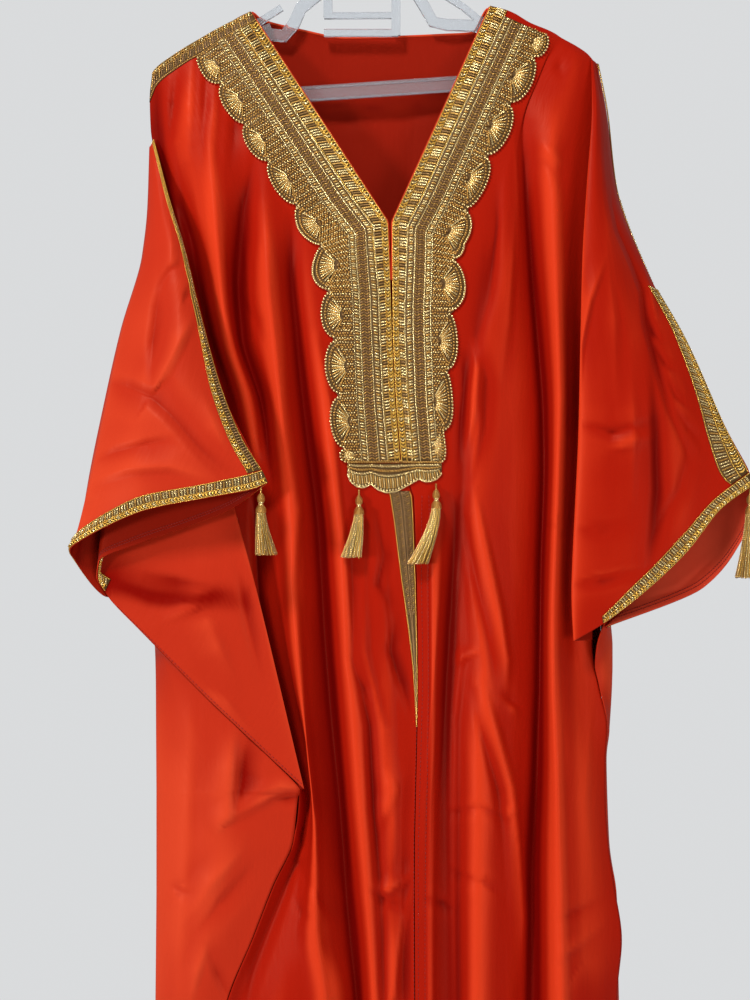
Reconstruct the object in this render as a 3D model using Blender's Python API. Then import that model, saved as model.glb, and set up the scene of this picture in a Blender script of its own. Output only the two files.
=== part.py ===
"""A jebba: a wide-sleeved satin gown with a gold braid yoke, hung on a clear plastic hanger.

Tables are in millimetres on an upright board behind the gown: across from the board's left edge,
down from its top edge, and depth away from the viewer. The board is read from in front, at
VIEW_DISTANCE, so a point that stands forward of it is drawn in towards the viewer's own axis.
The part's origin is the inner top of the hanger's hook, with +Z up and +Y away from the viewer.
Right and left are the wearer's, so the right sleeve hangs on the viewer's left.
"""

import math
from collections import namedtuple

import bmesh
import bpy
import numpy as np
from mathutils import Vector
from mathutils.bvhtree import BVHTree
from mathutils.geometry import delaunay_2d_cdt

MM = 0.001
HOOK_ACROSS, HOOK_DOWN = 360.0, -100.0
VIEW_ACROSS, VIEW_DOWN, VIEW_DISTANCE = 375.0, 500.0, 1400.0

# Walls and gaps
CLOTH = 1.2
BRAID = 1.1
SEAM_GAP = 0.3
YOKE_GAP = 0.5
SHOULDER_HALF_GAP = (CLOTH + SEAM_GAP) / 2
HEM_DOWN = 1420.0
LEVELLED_BELOW = 1000.0

# Rows that every body panel shares, and the part of the way from the shoulder to the first of them
LEVELS = (160, 222, 280, 340, 400, 462, 497, 520, 580, 640, 685, 727, 760, 797, 840, 885, 940, 1000,
          1100, 1200, 1310, HEM_DOWN)
SHOULDER_ROWS = (0.0, 0.045, 0.11, 0.33, 0.66)
# How far a shoulder row has opened, from the seam's depth to the depth at the first level
SHOULDER_OPENING = ((0.0, 0.0), (0.045, 0.17), (0.11, 0.28), (0.33, 0.5), (0.66, 0.8), (1.0, 1.0))

Material = namedtuple("Material", "colour roughness metallic")
SATIN = Material((0.62, 0.045, 0.015), 0.42, 0.0)
GOLD = Material((0.55, 0.36, 0.11), 0.38, 0.75)
CLEAR = Material((0.85, 0.86, 0.88), 0.12, 0.0)


# Curves and places


def smooth(stations, values, at):
    """Values at the places asked for: a smooth curve that never swings past the stations' own."""
    x = np.asarray(stations, float)
    v = np.asarray(values, float)
    at = np.clip(np.asarray(at, float), x[0], x[-1])
    tail = (1,) * (v.ndim - 1)
    run = np.diff(x).reshape(-1, *tail)
    rise = np.diff(v, axis=0) / run
    before, after = rise[:-1], rise[1:]
    turns = before * after <= 0
    mean = np.where(turns, 0.0, 2 * before * after / np.where(turns, 1.0, before + after))
    slope = np.concatenate([rise[:1], mean, rise[-1:]])
    cell = np.clip(np.searchsorted(x, at, side="right") - 1, 0, len(x) - 2)
    t = ((at - x[cell]) / (x[cell + 1] - x[cell])).reshape(-1, *tail)
    width = run[cell]
    start = (1 + 2 * t) * (1 - t) ** 2 * v[cell] + t * (1 - t) ** 2 * width * slope[cell]
    end = t * t * (3 - 2 * t) * v[cell + 1] - t * t * (1 - t) * width * slope[cell + 1]
    return start + end


def on_path(path, at):
    """One number read from a path of (station, value) pairs."""
    stations, values = zip(*path)
    return float(smooth(stations, values, [at])[0])


def place(across, down, depth):
    """The real point, in millimetres, that shows at this place on the board."""
    nearness = 1 + np.asarray(depth, float) / VIEW_DISTANCE
    x = VIEW_ACROSS - HOOK_ACROSS + (across - VIEW_ACROSS) * nearness
    drop = VIEW_DOWN - HOOK_DOWN + (down - VIEW_DOWN) * nearness
    return np.stack([x, depth + 0 * x, -drop], axis=-1)


def placed(net):
    """A net of (across, down, depth) rows turned into real points, with the hem brought to one level."""
    across, down, depth = np.moveaxis(np.asarray(net, float), -1, 0)
    share = np.clip((down - LEVELLED_BELOW) / (HEM_DOWN - LEVELLED_BELOW), 0, 1)
    down = VIEW_DOWN + (down - VIEW_DOWN) / (1 + share * depth / VIEW_DISTANCE)
    return place(across, down, depth)


def refined(net, row_cells, column_cells):
    """The net with smooth rows and columns added, so many to each cell of the table."""
    net = np.asarray(net, float)
    for axis, cells in ((0, row_cells), (1, column_cells)):
        count = net.shape[axis]
        spots = np.linspace(0, count - 1, (count - 1) * cells + 1)
        turned = np.moveaxis(net, axis, 0)
        net = np.moveaxis(smooth(np.arange(count), turned, spots), 0, axis)
    return net


# Sheets of cloth


def normals_of(grid):
    """Unit normals of a grid whose rows run down: towards the viewer where columns run right."""
    down = np.gradient(grid, axis=0)
    along = np.gradient(grid, axis=1)
    normals = np.cross(down, along)
    return normals / np.linalg.norm(normals, axis=-1, keepdims=True)


def material_of(name, finish):
    material = bpy.data.materials.new(name)
    material.use_nodes = True
    shader = material.node_tree.nodes["Principled BSDF"]
    shader.inputs["Base Color"].default_value = (*finish.colour, 1)
    shader.inputs["Roughness"].default_value = finish.roughness
    shader.inputs["Metallic"].default_value = finish.metallic
    return material


def add_object(name, mesh, finish):
    """Give the mesh its material and put it in the scene, closed and facing out."""
    work = bmesh.new()
    work.from_mesh(mesh)
    bmesh.ops.recalc_face_normals(work, faces=work.faces)
    work.to_mesh(mesh)
    work.free()
    mesh.materials.append(material_of(name, finish))
    mesh.shade_smooth()
    mesh.set_sharp_from_angle(angle=math.radians(50))
    item = bpy.data.objects.new(name, mesh)
    bpy.context.scene.collection.objects.link(item)
    return item


def add_wall(name, front, back, finish):
    """A closed wall between two grids of the same shape, in millimetres."""
    rows, columns = front.shape[:2]
    points = np.concatenate([front.reshape(-1, 3), back.reshape(-1, 3)]) * MM
    shift = rows * columns
    faces = []
    for i in range(rows - 1):
        for j in range(columns - 1):
            a, b = i * columns + j, i * columns + j + 1
            c, d = a + columns, b + columns
            faces += [(a, c, d), (a, d, b), (a + shift, d + shift, c + shift),
                      (a + shift, b + shift, d + shift)]
    top = [j for j in range(columns)]
    right = [i * columns + columns - 1 for i in range(1, rows)]
    bottom = [(rows - 1) * columns + j for j in range(columns - 2, -1, -1)]
    left = [i * columns for i in range(rows - 2, 0, -1)]
    rim = top + right + bottom + left
    for a, b in zip(rim, rim[1:] + rim[:1]):
        faces += [(a, b, b + shift), (a, b + shift, a + shift)]
    mesh = bpy.data.meshes.new(name)
    mesh.from_pydata([tuple(p) for p in points], [], faces)
    return add_object(name, mesh, finish)


Sheet = namedtuple("Sheet", "grid normals")


def add_sheet(name, grid, finish=SATIN, wall=CLOTH):
    """A sheet of cloth of one thickness on a grid of real points."""
    normals = normals_of(grid)
    add_wall(name, grid + normals * wall / 2, grid - normals * wall / 2, finish)
    return Sheet(grid, normals)


def add_strip(name, sheet, rows, columns, side, lift=SEAM_GAP):
    """A braid on some of a sheet's columns, made from the sheet's own points moved out.

    rows holds, for each column, the rows it is laid on, whole or part, so that a braid can taper."""
    grid, out = [], []
    for spots, column in zip(rows, columns):
        spots = np.array(spots, float)
        under = np.clip(spots.astype(int), 0, len(sheet.grid) - 2)
        share = (spots - under)[:, None]
        for kept, source in ((grid, sheet.grid), (out, sheet.normals)):
            kept.append(source[under, column] * (1 - share) + source[under + 1, column] * share)
    grid = np.stack(grid, axis=1)
    out = np.stack(out, axis=1) * side
    inner = grid + out * (CLOTH / 2 + lift)
    add_wall(name, inner + out * BRAID, inner, GOLD)


# The body: fronts and back are read from lines that run from the shoulder to the hem.
# A line has its places as (down, across) and its reach forward of the panel as (down, mm).

Line = namedtuple("Line", "name path reach")

FRONT_DEPTH = ((160, 22), (280, 28), (400, 34), (640, 38), (900, 42), (HEM_DOWN, 50))
BACK_DEPTH = ((160, 17), (280, 22), (500, 26), (900, 30), (HEM_DOWN, 36))

OPENING_RIGHT = ((12, 251), (160, 347.6), (222, 388), (340, 392), (400, 395), (460, 400), (490, 412.5),
                 (580, 416), (680, 417.5), (760, 416), (868, 414), (HEM_DOWN, 418))
OPENING_LEFT = ((6, 490), (160, 420.2), (222, 392), (340, 392.8), (400, 395.8), (460, 400.8),
                (490, 413.3), (580, 416.8), (680, 418.3), (760, 416.8), (868, 414.8),
                (HEM_DOWN, 418.8))

RIGHT_LINES = (
    Line("side", ((73, 153), (103, 150), (143, 152), (160, 157), (280, 178), (400, 197), (520, 214),
                  (640, 240), (727, 270), (797, 299), (840, 294), (885, 274), (940, 252.5),
                  (1000, 228), (1200, 188), (HEM_DOWN, 172)),
         ((160, -20), (280, -4), (640, -3), (797, 7), (900, 2), (1000, -2), (HEM_DOWN, -24))),
    Line("sleeve valley", ((66, 160), (160, 175), (280, 198), (400, 226), (460, 238), (520, 250),
                           (640, 266), (760, 296), (797, 308), (885, 286), (1000, 242),
                           (1200, 206), (HEM_DOWN, 192)),
         ((160, -3), (280, -8), (520, -11), (797, -9), (1000, -8), (HEM_DOWN, -16))),
    Line("shoulder ridge", ((47, 188), (160, 211), (280, 220), (340, 228), (400, 246), (520, 263),
                            (640, 276), (797, 311), (885, 296), (1000, 262), (HEM_DOWN, 214)),
         ((160, 3), (280, 12), (400, 10), (520, -4), (797, -4), (1000, 2), (HEM_DOWN, 2))),
    Line("second valley", ((40.4, 199), (160, 244), (280, 238), (340, 243), (400, 261), (520, 275),
                           (640, 285), (797, 312.5), (885, 305), (1000, 284), (HEM_DOWN, 240)),
         ((160, -1), (280, -10), (400, -8), (520, 3), (797, 2), (1000, 10), (HEM_DOWN, 16))),
    Line("main ridge", ((35.1, 208), (160, 261), (280, 268), (400, 280), (520, 292), (640, 297),
                        (760, 308), (840, 315), (940, 316), (1000, 327), (HEM_DOWN, 322)),
         ((160, 0), (222, 4), (280, 11), (520, 14), (840, 17), (1000, 14), (HEM_DOWN, 4))),
    Line("third valley", ((31, 215), (160, 272), (222, 288), (280, 291), (400, 303), (520, 319),
                          (640, 325), (760, 335), (885, 345), (1000, 356), (HEM_DOWN, 362)),
         ((160, 0), (222, -2), (280, -7), (520, -10), (840, -9), (HEM_DOWN, -16))),
    Line("inner ridge", ((27, 222.6), (160, 283), (222, 305), (280, 309), (400, 324), (520, 338),
                         (640, 349), (760, 357), (1000, 374), (HEM_DOWN, 384)),
         ((160, 0), (280, 0), (520, 5), (840, 6), (HEM_DOWN, 12))),
    Line("yoke rim", ((24.1, 228), (160, 300), (280, 330), (400, 349), (460, 356), (520, 366),
                      (640, 372), (1000, 388), (HEM_DOWN, 396)),
         ((160, 0), (497, 0), (580, 2), (840, -1), (HEM_DOWN, -4))),
)
LEFT_LINES = (
    Line("yoke rim", ((14, 515), (160, 458), (280, 432), (400, 424), (460, 424), (520, 434),
                      (640, 434), (1000, 432), (HEM_DOWN, 440)),
         ((160, 0), (497, 0), (580, 4), (840, 3), (HEM_DOWN, 6))),
    Line("yoke valley", ((23, 530), (160, 492), (222, 494), (280, 481), (340, 470), (400, 461),
                         (520, 457), (640, 455), (760, 451), (HEM_DOWN, 462)),
         ((160, 0), (280, -2), (497, -3), (580, -7), (840, -9), (HEM_DOWN, -12))),
    Line("lens ridge", ((30, 547), (160, 507), (280, 501), (400, 480), (520, 480), (640, 487),
                        (760, 480), (1000, 478), (HEM_DOWN, 492)),
         ((160, 0), (280, 3), (520, 5), (840, 9), (HEM_DOWN, 12))),
    Line("slope", ((34, 555), (160, 515), (280, 517), (400, 514), (640, 512), (1000, 506),
                   (HEM_DOWN, 520)),
         ((160, -1), (280, -3), (640, -2), (HEM_DOWN, -2))),
    Line("great valley", ((38, 561), (110, 523), (160, 524), (280, 532), (400, 542), (460, 544),
                          (580, 540), (760, 537), (885, 532), (1000, 532), (HEM_DOWN, 546)),
         ((160, -4), (280, -14), (520, -17), (840, -17), (HEM_DOWN, -20))),
    Line("tube ridge", ((47, 577), (160, 552), (280, 556), (400, 559), (520, 556), (640, 553),
                        (760, 557), (1000, 560), (HEM_DOWN, 578)),
         ((160, 4), (280, 10), (520, 14), (840, 14), (HEM_DOWN, 16))),
    Line("tube slope", ((54, 587), (160, 580), (280, 579), (460, 577), (640, 574), (760, 586),
                        (1000, 594), (HEM_DOWN, 612)),
         ((160, -4), (280, -4), (520, -5), (727, 0), (HEM_DOWN, -4))),
    Line("side", ((62, 594), (100, 597), (160, 600), (280, 599), (460, 597), (640, 592), (665, 594),
                  (685, 598), (720, 607), (778, 604.5), (831, 607), (870, 611), (899, 616.5),
                  (966, 623), (1000, 617), (1200, 622), (HEM_DOWN, 628)),
         ((160, -14), (280, -12), (640, -8), (840, -14), (HEM_DOWN, -26))),
)

# Seams that two pieces share at the back, as (down, across, depth)
REAR_SEAM_RIGHT = ((73, 153, SHOULDER_HALF_GAP), (103, 150, SHOULDER_HALF_GAP), (143, 153, 2.5),
                   (160, 157, 6), (244, 160, 14), (318, 160, 17), (404, 160, 18), (600, 160, 18),
                   (900, 160, 18), (HEM_DOWN, 152, 14))
REAR_SEAM_LEFT = ((62, 594, SHOULDER_HALF_GAP), (90, 598, 9), (142, 601, 15), (264, 601, 18),
                  (628, 601, 18), (900, 606, 18), (HEM_DOWN, 632, 14))
REAR_SEAM_EASE = 0.45

# The back's lines between its side seams; the neckline's own depth is the third number of its first place
BACK_LINES = (
    Line("right shoulder", ((58, 170, 0.75), (160, 184), (640, 186), (HEM_DOWN, 180)),
         ((160, 0), (500, -6), (HEM_DOWN, -10))),
    Line("right blade", ((42, 196, 0.75), (160, 212), (640, 222), (HEM_DOWN, 216)),
         ((160, 2), (500, 9), (HEM_DOWN, 12))),
    Line("right yoke", ((27, 222, 0.75), (160, 240), (640, 258), (HEM_DOWN, 250)),
         ((160, -2), (500, -8), (HEM_DOWN, -10))),
    Line("right neck", ((12.5, 250, 0.75), (160, 268), (640, 290), (HEM_DOWN, 284)),
         ((160, 2), (500, 8), (HEM_DOWN, 14))),
    Line("neck right turn", ((20, 262, 4.2), (160, 290), (640, 316), (HEM_DOWN, 312)),
         ((160, 0), (500, 0), (HEM_DOWN, 0))),
    Line("neck right", ((30, 300, 9), (160, 316), (640, 338), (HEM_DOWN, 336)),
         ((160, 0), (500, -7), (HEM_DOWN, -10))),
    Line("centre right", ((38, 346, 12), (160, 350), (640, 364), (HEM_DOWN, 366)),
         ((160, 2), (500, 5), (HEM_DOWN, 6))),
    Line("centre left", ((37, 392, 12), (160, 392), (640, 394), (HEM_DOWN, 398)),
         ((160, 2), (500, 9), (HEM_DOWN, 14))),
    Line("neck left", ((35, 440, 11), (160, 430), (640, 424), (HEM_DOWN, 430)),
         ((160, 0), (500, 0), (HEM_DOWN, -4))),
    Line("neck left turn", ((33, 472, 6), (160, 462), (640, 452), (HEM_DOWN, 462)),
         ((160, 0), (500, -8), (HEM_DOWN, -12))),
    Line("left neck", ((8, 490, 0.75), (160, 488), (640, 482), (HEM_DOWN, 494)),
         ((160, 0), (500, 4), (HEM_DOWN, 2))),
    Line("left yoke", ((24, 526, 0.75), (160, 522), (640, 514), (HEM_DOWN, 528)),
         ((160, 2), (500, 9), (HEM_DOWN, 14))),
    Line("left blade", ((40, 562, 0.75), (160, 556), (640, 548), (HEM_DOWN, 566)),
         ((160, 0), (500, -7), (HEM_DOWN, -10))),
    Line("left shoulder", ((52, 580, 0.75), (160, 580), (640, 578), (HEM_DOWN, 602)),
         ((160, 0), (500, 2), (HEM_DOWN, 2))),
)


def rows_down(line, depths, sign):
    """One line's points from the shoulder to the hem: (across, down, depth) for each row."""
    start = line.path[0]
    seam_depth = start[2] if len(start) == 3 else -SHOULDER_HALF_GAP
    path = [spot[:2] for spot in line.path]
    first = LEVELS[0]
    level_depth = sign * (on_path(depths, first) + on_path(line.reach, first))
    points = []
    for share in SHOULDER_ROWS:
        down = start[0] + share * (first - start[0])
        opening = on_path(SHOULDER_OPENING, share)
        points.append((on_path(path, down), down, seam_depth + (level_depth - seam_depth) * opening))
    for down in LEVELS:
        depth = sign * (on_path(depths, down) + on_path(line.reach, down))
        points.append((on_path(path, down), down, depth))
    return np.array(points)


def seam_points(seam, downs, ease):
    """Points of a shared seam at these heights, moved across by ease."""
    stations = [spot[0] for spot in seam]
    read = smooth(stations, [spot[1:] for spot in seam], downs)
    return np.stack([read[:, 0] + ease, np.asarray(downs, float), read[:, 1]], axis=-1)


def opening_line(path, sign, width, start):
    """The line along the neck and the front opening, or beside it at the galon's width."""
    shifted = tuple((down, across - sign * on_path(width, down)) for down, across in path[1:])
    return Line("opening", (start,) + shifted, ((160, 0), (HEM_DOWN, 0)))


# The galon lies along the neck and the slit, and narrows to nothing below the yoke's foot
NO_WIDTH = ((0, 0), (HEM_DOWN, 0))
GALON_RIGHT = ((0, 21), (222, 20), (460, 19), (490, 24), (580, 18), (640, 13), (685, 8), (727, 2.5),
               (HEM_DOWN, 2.5))
GALON_LEFT = ((0, 19), (222, 19), (460, 19), (520, 10), (HEM_DOWN, 8))


def body_net(lines, depths, sign):
    return np.stack([rows_down(line, depths, sign) for line in lines], axis=1)


def front_right_net():
    inner = (opening_line(OPENING_RIGHT, 1, GALON_RIGHT, (21.5, 233)),
             opening_line(OPENING_RIGHT, 1, NO_WIDTH, OPENING_RIGHT[0]))
    return body_net(RIGHT_LINES + inner, FRONT_DEPTH, -1)


def front_left_net():
    inner = (opening_line(OPENING_LEFT, -1, NO_WIDTH, OPENING_LEFT[0]),
             opening_line(OPENING_LEFT, -1, GALON_LEFT, (10.5, 507)))
    return body_net(inner + LEFT_LINES, FRONT_DEPTH, -1)


def back_net():
    net = body_net(BACK_LINES, BACK_DEPTH, 1)
    sides = []
    for seam, ease in ((REAR_SEAM_RIGHT, REAR_SEAM_EASE), (REAR_SEAM_LEFT, -REAR_SEAM_EASE)):
        start, first = seam[0][0], LEVELS[0]
        downs = [start + share * (first - start) for share in SHOULDER_ROWS] + list(LEVELS)
        sides.append(seam_points(seam, downs, ease))
    return np.concatenate([sides[0][:, None], net, sides[1][:, None]], axis=1)


# The sleeves: each row of a table is a section, each column a named line along the sleeve

RIGHT_BACK = namedtuple("RightBack", "seam band crown quarter outline tip underarm rear")
SLEEVE_RIGHT_BACK = (
    RIGHT_BACK((154, 140, -5), (153, 142, -5.4), (152, 144, -5), (151, 146, -4),
               (150, 147, -2.2), (149.8, 148, -0.4), (150.2, 148, 1), (151.5, 147, 2)),
    RIGHT_BACK((169, 200, -28), (166, 200, -29), (161, 201, -30), (155, 202, -27),
               (149, 204, -19), (148, 205, -12), (149, 206, -4), (153, 206, 4)),
    RIGHT_BACK((184, 250, -46), (180.6, 250, -48), (171, 251, -51), (158, 252, -47),
               (144, 254, -35), (142.5, 256, -26), (145, 257, -14), (151, 257, 2)),
    RIGHT_BACK((202, 322, -61), (196, 322, -64), (178, 323, -69), (152, 325, -65),
               (123, 328, -48), (121, 331, -37), (126, 333, -22), (139, 334, -1)),
    RIGHT_BACK((222, 390, -76), (210, 390, -79), (181, 394, -84), (142, 398, -79),
               (107, 402, -60), (104, 406, -47), (110, 408, -31), (130, 408, -4)),
    RIGHT_BACK((243, 440, -87), (228, 440, -89), (190, 448, -93), (138, 458, -89),
               (92, 472, -68), (89, 480, -54), (99, 484, -40), (126, 486, -8)),
    RIGHT_BACK((262, 470, -92), (247, 474.5, -93), (200, 484.5, -97), (140, 496, -93),
               (77, 533, -72), (79, 545, -60), (100, 572, -50), (130, 580, -12)),
    RIGHT_BACK((268, 483, -93), (252, 489.5, -94), (204, 498.5, -98), (146, 510, -94),
               (70, 550, -73), (76, 562, -62), (107, 597, -47), (134, 599, -13)),
)
RIGHT_REAR_DOWNS = (146, 206, 257, 334, 408, 486, 580, 599.4)

RIGHT_FRONT = namedtuple("RightFront", "seam far_a far_b far_c turn underarm flap_a flap_b flap_c fold ret")
SLEEVE_RIGHT_FRONT = (
    RIGHT_FRONT((163, 176, -16.6), (160, 176.5, -15.6), (157.5, 177, -14.4), (155, 178, -13),
                (152.6, 179, -11.2), (152, 180, -9.4), (153.2, 180, -8), (155, 180, -7.8),
                (157.4, 179.5, -8.6), (160, 178.5, -10.4), (158.6, 178.5, -7.8)),
    RIGHT_FRONT((183, 250, -43.5), (176, 250, -41), (167, 251, -39), (158, 252, -37),
                (150, 254, -33), (149, 256, -28), (152, 257, -25), (160, 257, -26),
                (169, 256, -30), (177, 254, -34), (176, 254, -27)),
    RIGHT_FRONT((201, 322, -59), (188, 322, -54), (170, 324, -51), (150, 326, -49),
                (132, 329, -44), (130, 332, -39), (138, 334, -36), (158, 334, -38),
                (176, 332, -42), (191, 330, -46), (190, 330, -36)),
    RIGHT_FRONT((221, 390, -74), (202, 391, -66), (175, 394, -62), (144, 398, -60),
                (118, 404, -55), (115, 410, -49), (126, 412, -46), (154, 412, -48),
                (182, 408, -52), (206, 404, -55), (203, 404, -44)),
    RIGHT_FRONT((261, 471, -89.5), (228, 488, -74), (184, 505, -70), (138, 520, -69),
                (104, 538, -66), (99, 555, -59), (122, 560, -55), (164, 556, -56),
                (208, 548, -58), (256, 590, -58), (230, 590, -43)),
    RIGHT_FRONT((266, 484, -90.5), (232, 508, -75), (186, 527, -71), (140, 543, -70),
                (99, 561, -66), (97, 577, -59), (108.5, 597, -51), (155, 645, -54),
                (203, 694, -57), (304, 789, -57), (283, 789, -47)),
)

LEFT_FRONT = namedtuple("LeftFront", "ret fold near_a near_b near_c band seam")
SLEEVE_LEFT_FRONT = (
    LEFT_FRONT((596, 66, -3.4), (591.5, 60, -5.2), (592.3, 60.4, -5), (593.2, 61, -4.2),
               (594.2, 61.8, -3), (595.2, 62.6, -1.8), (596, 63.4, -0.9)),
    LEFT_FRONT((602, 112, -17), (592.5, 108, -27), (595.5, 109, -27.5), (599, 110, -24),
               (602.5, 111, -16), (605, 112, -8), (606, 113, -0.8)),
    LEFT_FRONT((604, 183, -30), (587.5, 183, -43), (594, 183, -45), (601, 183, -42),
               (608, 184, -31), (612.5, 184.5, -18), (615, 185, -6)),
    LEFT_FRONT((602, 262, -38), (583, 258, -53), (595, 260, -57), (612, 263, -55),
               (629, 268, -45), (641, 272, -33), (649, 276, -22)),
    LEFT_FRONT((601, 345, -42), (581, 338, -58), (600, 340, -64), (627, 344, -64),
               (654, 344, -56), (674, 337, -46), (687, 344, -40)),
    LEFT_FRONT((600, 440, -44), (579, 430, -61), (605, 432, -69), (640, 430, -71),
               (676, 426, -66), (703, 428, -58), (726, 429, -52)),
    LEFT_FRONT((592, 600, -44), (572, 590, -61), (600, 590, -68), (634, 575, -71),
               (677, 540, -70), (713, 500, -64), (749, 472, -58)),
    LEFT_FRONT((592, 640, -45), (574, 641, -61), (603, 624, -64), (640, 596, -70),
               (686, 553, -70), (722, 508, -65), (752, 486, -59)),
)

LEFT_BACK = namedtuple("LeftBack", "seam far_a far_b far_c underarm rear")
SLEEVE_LEFT_BACK = (
    LEFT_BACK((596, 63.4, 0.9), (596.6, 64, 1.6), (596.9, 64.6, 2.4), (596.9, 65.2, 3.2),
              (596.6, 65.8, 3.8), (596.2, 66.4, 4.2)),
    LEFT_BACK((606, 113, 0.9), (606, 113, 4), (605.2, 113, 7), (604.2, 113, 9.4),
              (602.8, 113, 11), (601.4, 113, 12)),
    LEFT_BACK((615, 185, -4.3), (614, 185, 3), (612, 184, 9), (609.5, 184, 13),
              (606.5, 183, 15.4), (604, 183, 16.4)),
    LEFT_BACK((649, 276, -20.2), (646, 276, -8), (638, 274, 3), (627, 270, 10.5),
              (616, 266, 15), (608, 264, 17)),
    LEFT_BACK((687, 344, -38), (681, 346, -22), (667, 348, -8), (648, 348, 4),
              (628, 348, 12), (613, 348, 16)),
    LEFT_BACK((726, 429, -50), (719, 436, -33), (700, 444, -17), (672, 450, -3),
              (640, 454, 9), (616, 454, 15)),
    LEFT_BACK((749, 473, -56), (744, 508, -41), (724, 542, -31), (690, 572, -27),
              (630, 596, -30), (611, 606, -8)),
    LEFT_BACK((752, 488, -57), (748, 524, -43), (735, 552, -35), (703, 588, -33),
              (606, 627, -57), (608, 629, -20)),
)
LEFT_REAR_DOWNS = (66.6, 113, 183, 264, 348, 454, 612, 628)

# The side gores: a row is a height, from the underarm to the hem
GORE_RIGHT = namedtuple("GoreRight", "front slope outline turn")
SIDE_GORE_RIGHT = (
    (600.6, GORE_RIGHT((112, -49.4), (122, -34), (136, -13), (149, 4))),
    (622, GORE_RIGHT((132.5, -51.5), (138, -38), (146, -18), (154, 4))),
    (646, GORE_RIGHT((156, -52.4), (155.6, -42), (155.4, -22), (157.6, 4))),
    (685, GORE_RIGHT((194, -55), (172, -46), (156.4, -24), (157.6, 4))),
    (727, GORE_RIGHT((237, -55.4), (192, -50), (156.6, -26), (158, 4))),
    (760, GORE_RIGHT((272, -55.6), (210, -52), (156.8, -26), (158, 4))),
    (790, GORE_RIGHT((300, -55), (222, -54), (157, -26), (158, 4))),
    (797, GORE_RIGHT((298, -51), (223, -54), (157, -26), (158, 4))),
    (840, GORE_RIGHT((293, -48), (224, -54), (157, -26), (158, 4))),
    (885, GORE_RIGHT((273, -45), (216, -52), (157, -26), (158, 4))),
    (940, GORE_RIGHT((251.5, -43), (206, -50), (156.6, -26), (157.6, 4))),
    (1000, GORE_RIGHT((227, -42), (194, -46), (156, -26), (157, 4))),
    (1100, GORE_RIGHT((205, -40), (180, -42), (154.6, -24), (155.6, 4))),
    (1200, GORE_RIGHT((187, -36), (168, -38), (152, -22), (153.4, 4))),
    (1310, GORE_RIGHT((177.5, -31), (162, -33), (149, -20), (151, 3))),
    (HEM_DOWN, GORE_RIGHT((171, -26), (156, -27), (146, -16), (148.6, 3))),
)
GORE_LEFT = namedtuple("GoreLeft", "front slope outline turn")
SIDE_GORE_LEFT = (
    (629.4, GORE_LEFT((605, -55), (609, -44), (610, -22), (607, 0))),
    (646, GORE_LEFT((597, -48), (605, -40), (612, -24), (609, 0))),
    (665, GORE_LEFT((595, -36), (602, -34), (612, -22), (609, 0))),
    (685, GORE_LEFT((599, -32), (604, -30), (611.5, -20), (609, 0))),
    (727, GORE_LEFT((607, -26), (609, -21), (609, -12), (606, 4))),
    (760, GORE_LEFT((605, -25.4), (606, -20), (606, -10), (604.6, 4))),
    (840, GORE_LEFT((607, -24.6), (608, -19), (608.6, -10), (607, 4))),
    (899, GORE_LEFT((616, -24), (616.4, -18), (616, -10), (611, 4))),
    (1000, GORE_LEFT((617, -23.4), (618, -18), (618.4, -10), (614, 4))),
    (1200, GORE_LEFT((622, -22), (624, -17), (625, -8), (622, 4))),
    (HEM_DOWN, GORE_LEFT((628, -21), (631, -15), (633.6, -6), (633.6, 5))),
)


def sleeve_net(sections, rear_seam=None, rear_downs=(), ease=0.0):
    """The table as a net, closed along a shared seam where it has one."""
    net = np.array(sections, float)
    if rear_seam is None:
        return net
    seam = seam_points(rear_seam, rear_downs, ease)
    return np.concatenate([net, seam[:, None]], axis=1)


def gore_net(table, rear_seam, ease):
    rows = []
    for down, section in table:
        rows.append([(across, down, depth) for across, depth in section])
    downs = [down for down, _ in table]
    seam = seam_points(rear_seam, downs, ease)
    return np.concatenate([np.array(rows, float), seam[:, None]], axis=1)


# The yoke: a scalloped band beside the galon, from the shoulder to the foot

Scallop = namedtuple("Scallop", "start valley crest")
Yoke = namedtuple("Yoke", "side path slant scallops end")
YOKE_RIGHT = Yoke(
    side=-1,
    path=((251, 12), (388, 222), (392, 330), (395, 400), (400, 462)),
    slant=33.0,
    scallops=(Scallop(9, 70, 75), Scallop(44, 63, 75), Scallop(91, 66, 77), Scallop(135, 66, 77),
              Scallop(187, 66, 80), Scallop(252, 70, 79), Scallop(320, 60, 71), Scallop(368, 56, 69),
              Scallop(424, 54, 67), Scallop(478, 54, 60)),
    end=(491.6, 52),
)
YOKE_LEFT = Yoke(
    side=1,
    path=((490, 6), (392, 222), (392.6, 330), (395, 400), (400, 462)),
    slant=24.4,
    scallops=(Scallop(3, 63, 70), Scallop(29, 60, 71), Scallop(81, 56, 71), Scallop(138, 58, 71),
              Scallop(195, 62, 77), Scallop(262, 62, 74), Scallop(328, 57, 65), Scallop(386, 53, 58),
              Scallop(447, 46, 47)),
    end=(478, 42),
)
SCALLOP_STEPS = 5
YOKE_STRAIGHT = (200.0, 320.0)
YOKE_BED = 1.5
BESIDE_GALON = 1.8
# Ribs across the yoke's width: share of the width, and height over the bed
YOKE_RIBS = ((0.0, 0.7), (0.12, 0.2), (0.24, 0.9), (0.42, 0.3), (0.6, 0.7), (0.77, 0.2), (0.9, 1.0),
             (1.0, 0.8))


def walk(path, length):
    """The point at this length along a line of straight runs."""
    for start, end in zip(path, path[1:]):
        run = math.dist(start, end)
        if length <= run or end == path[-1]:
            share = length / run
            return (start[0] + share * (end[0] - start[0]), start[1] + share * (end[1] - start[1]))
        length -= run
    return path[-1]


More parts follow.
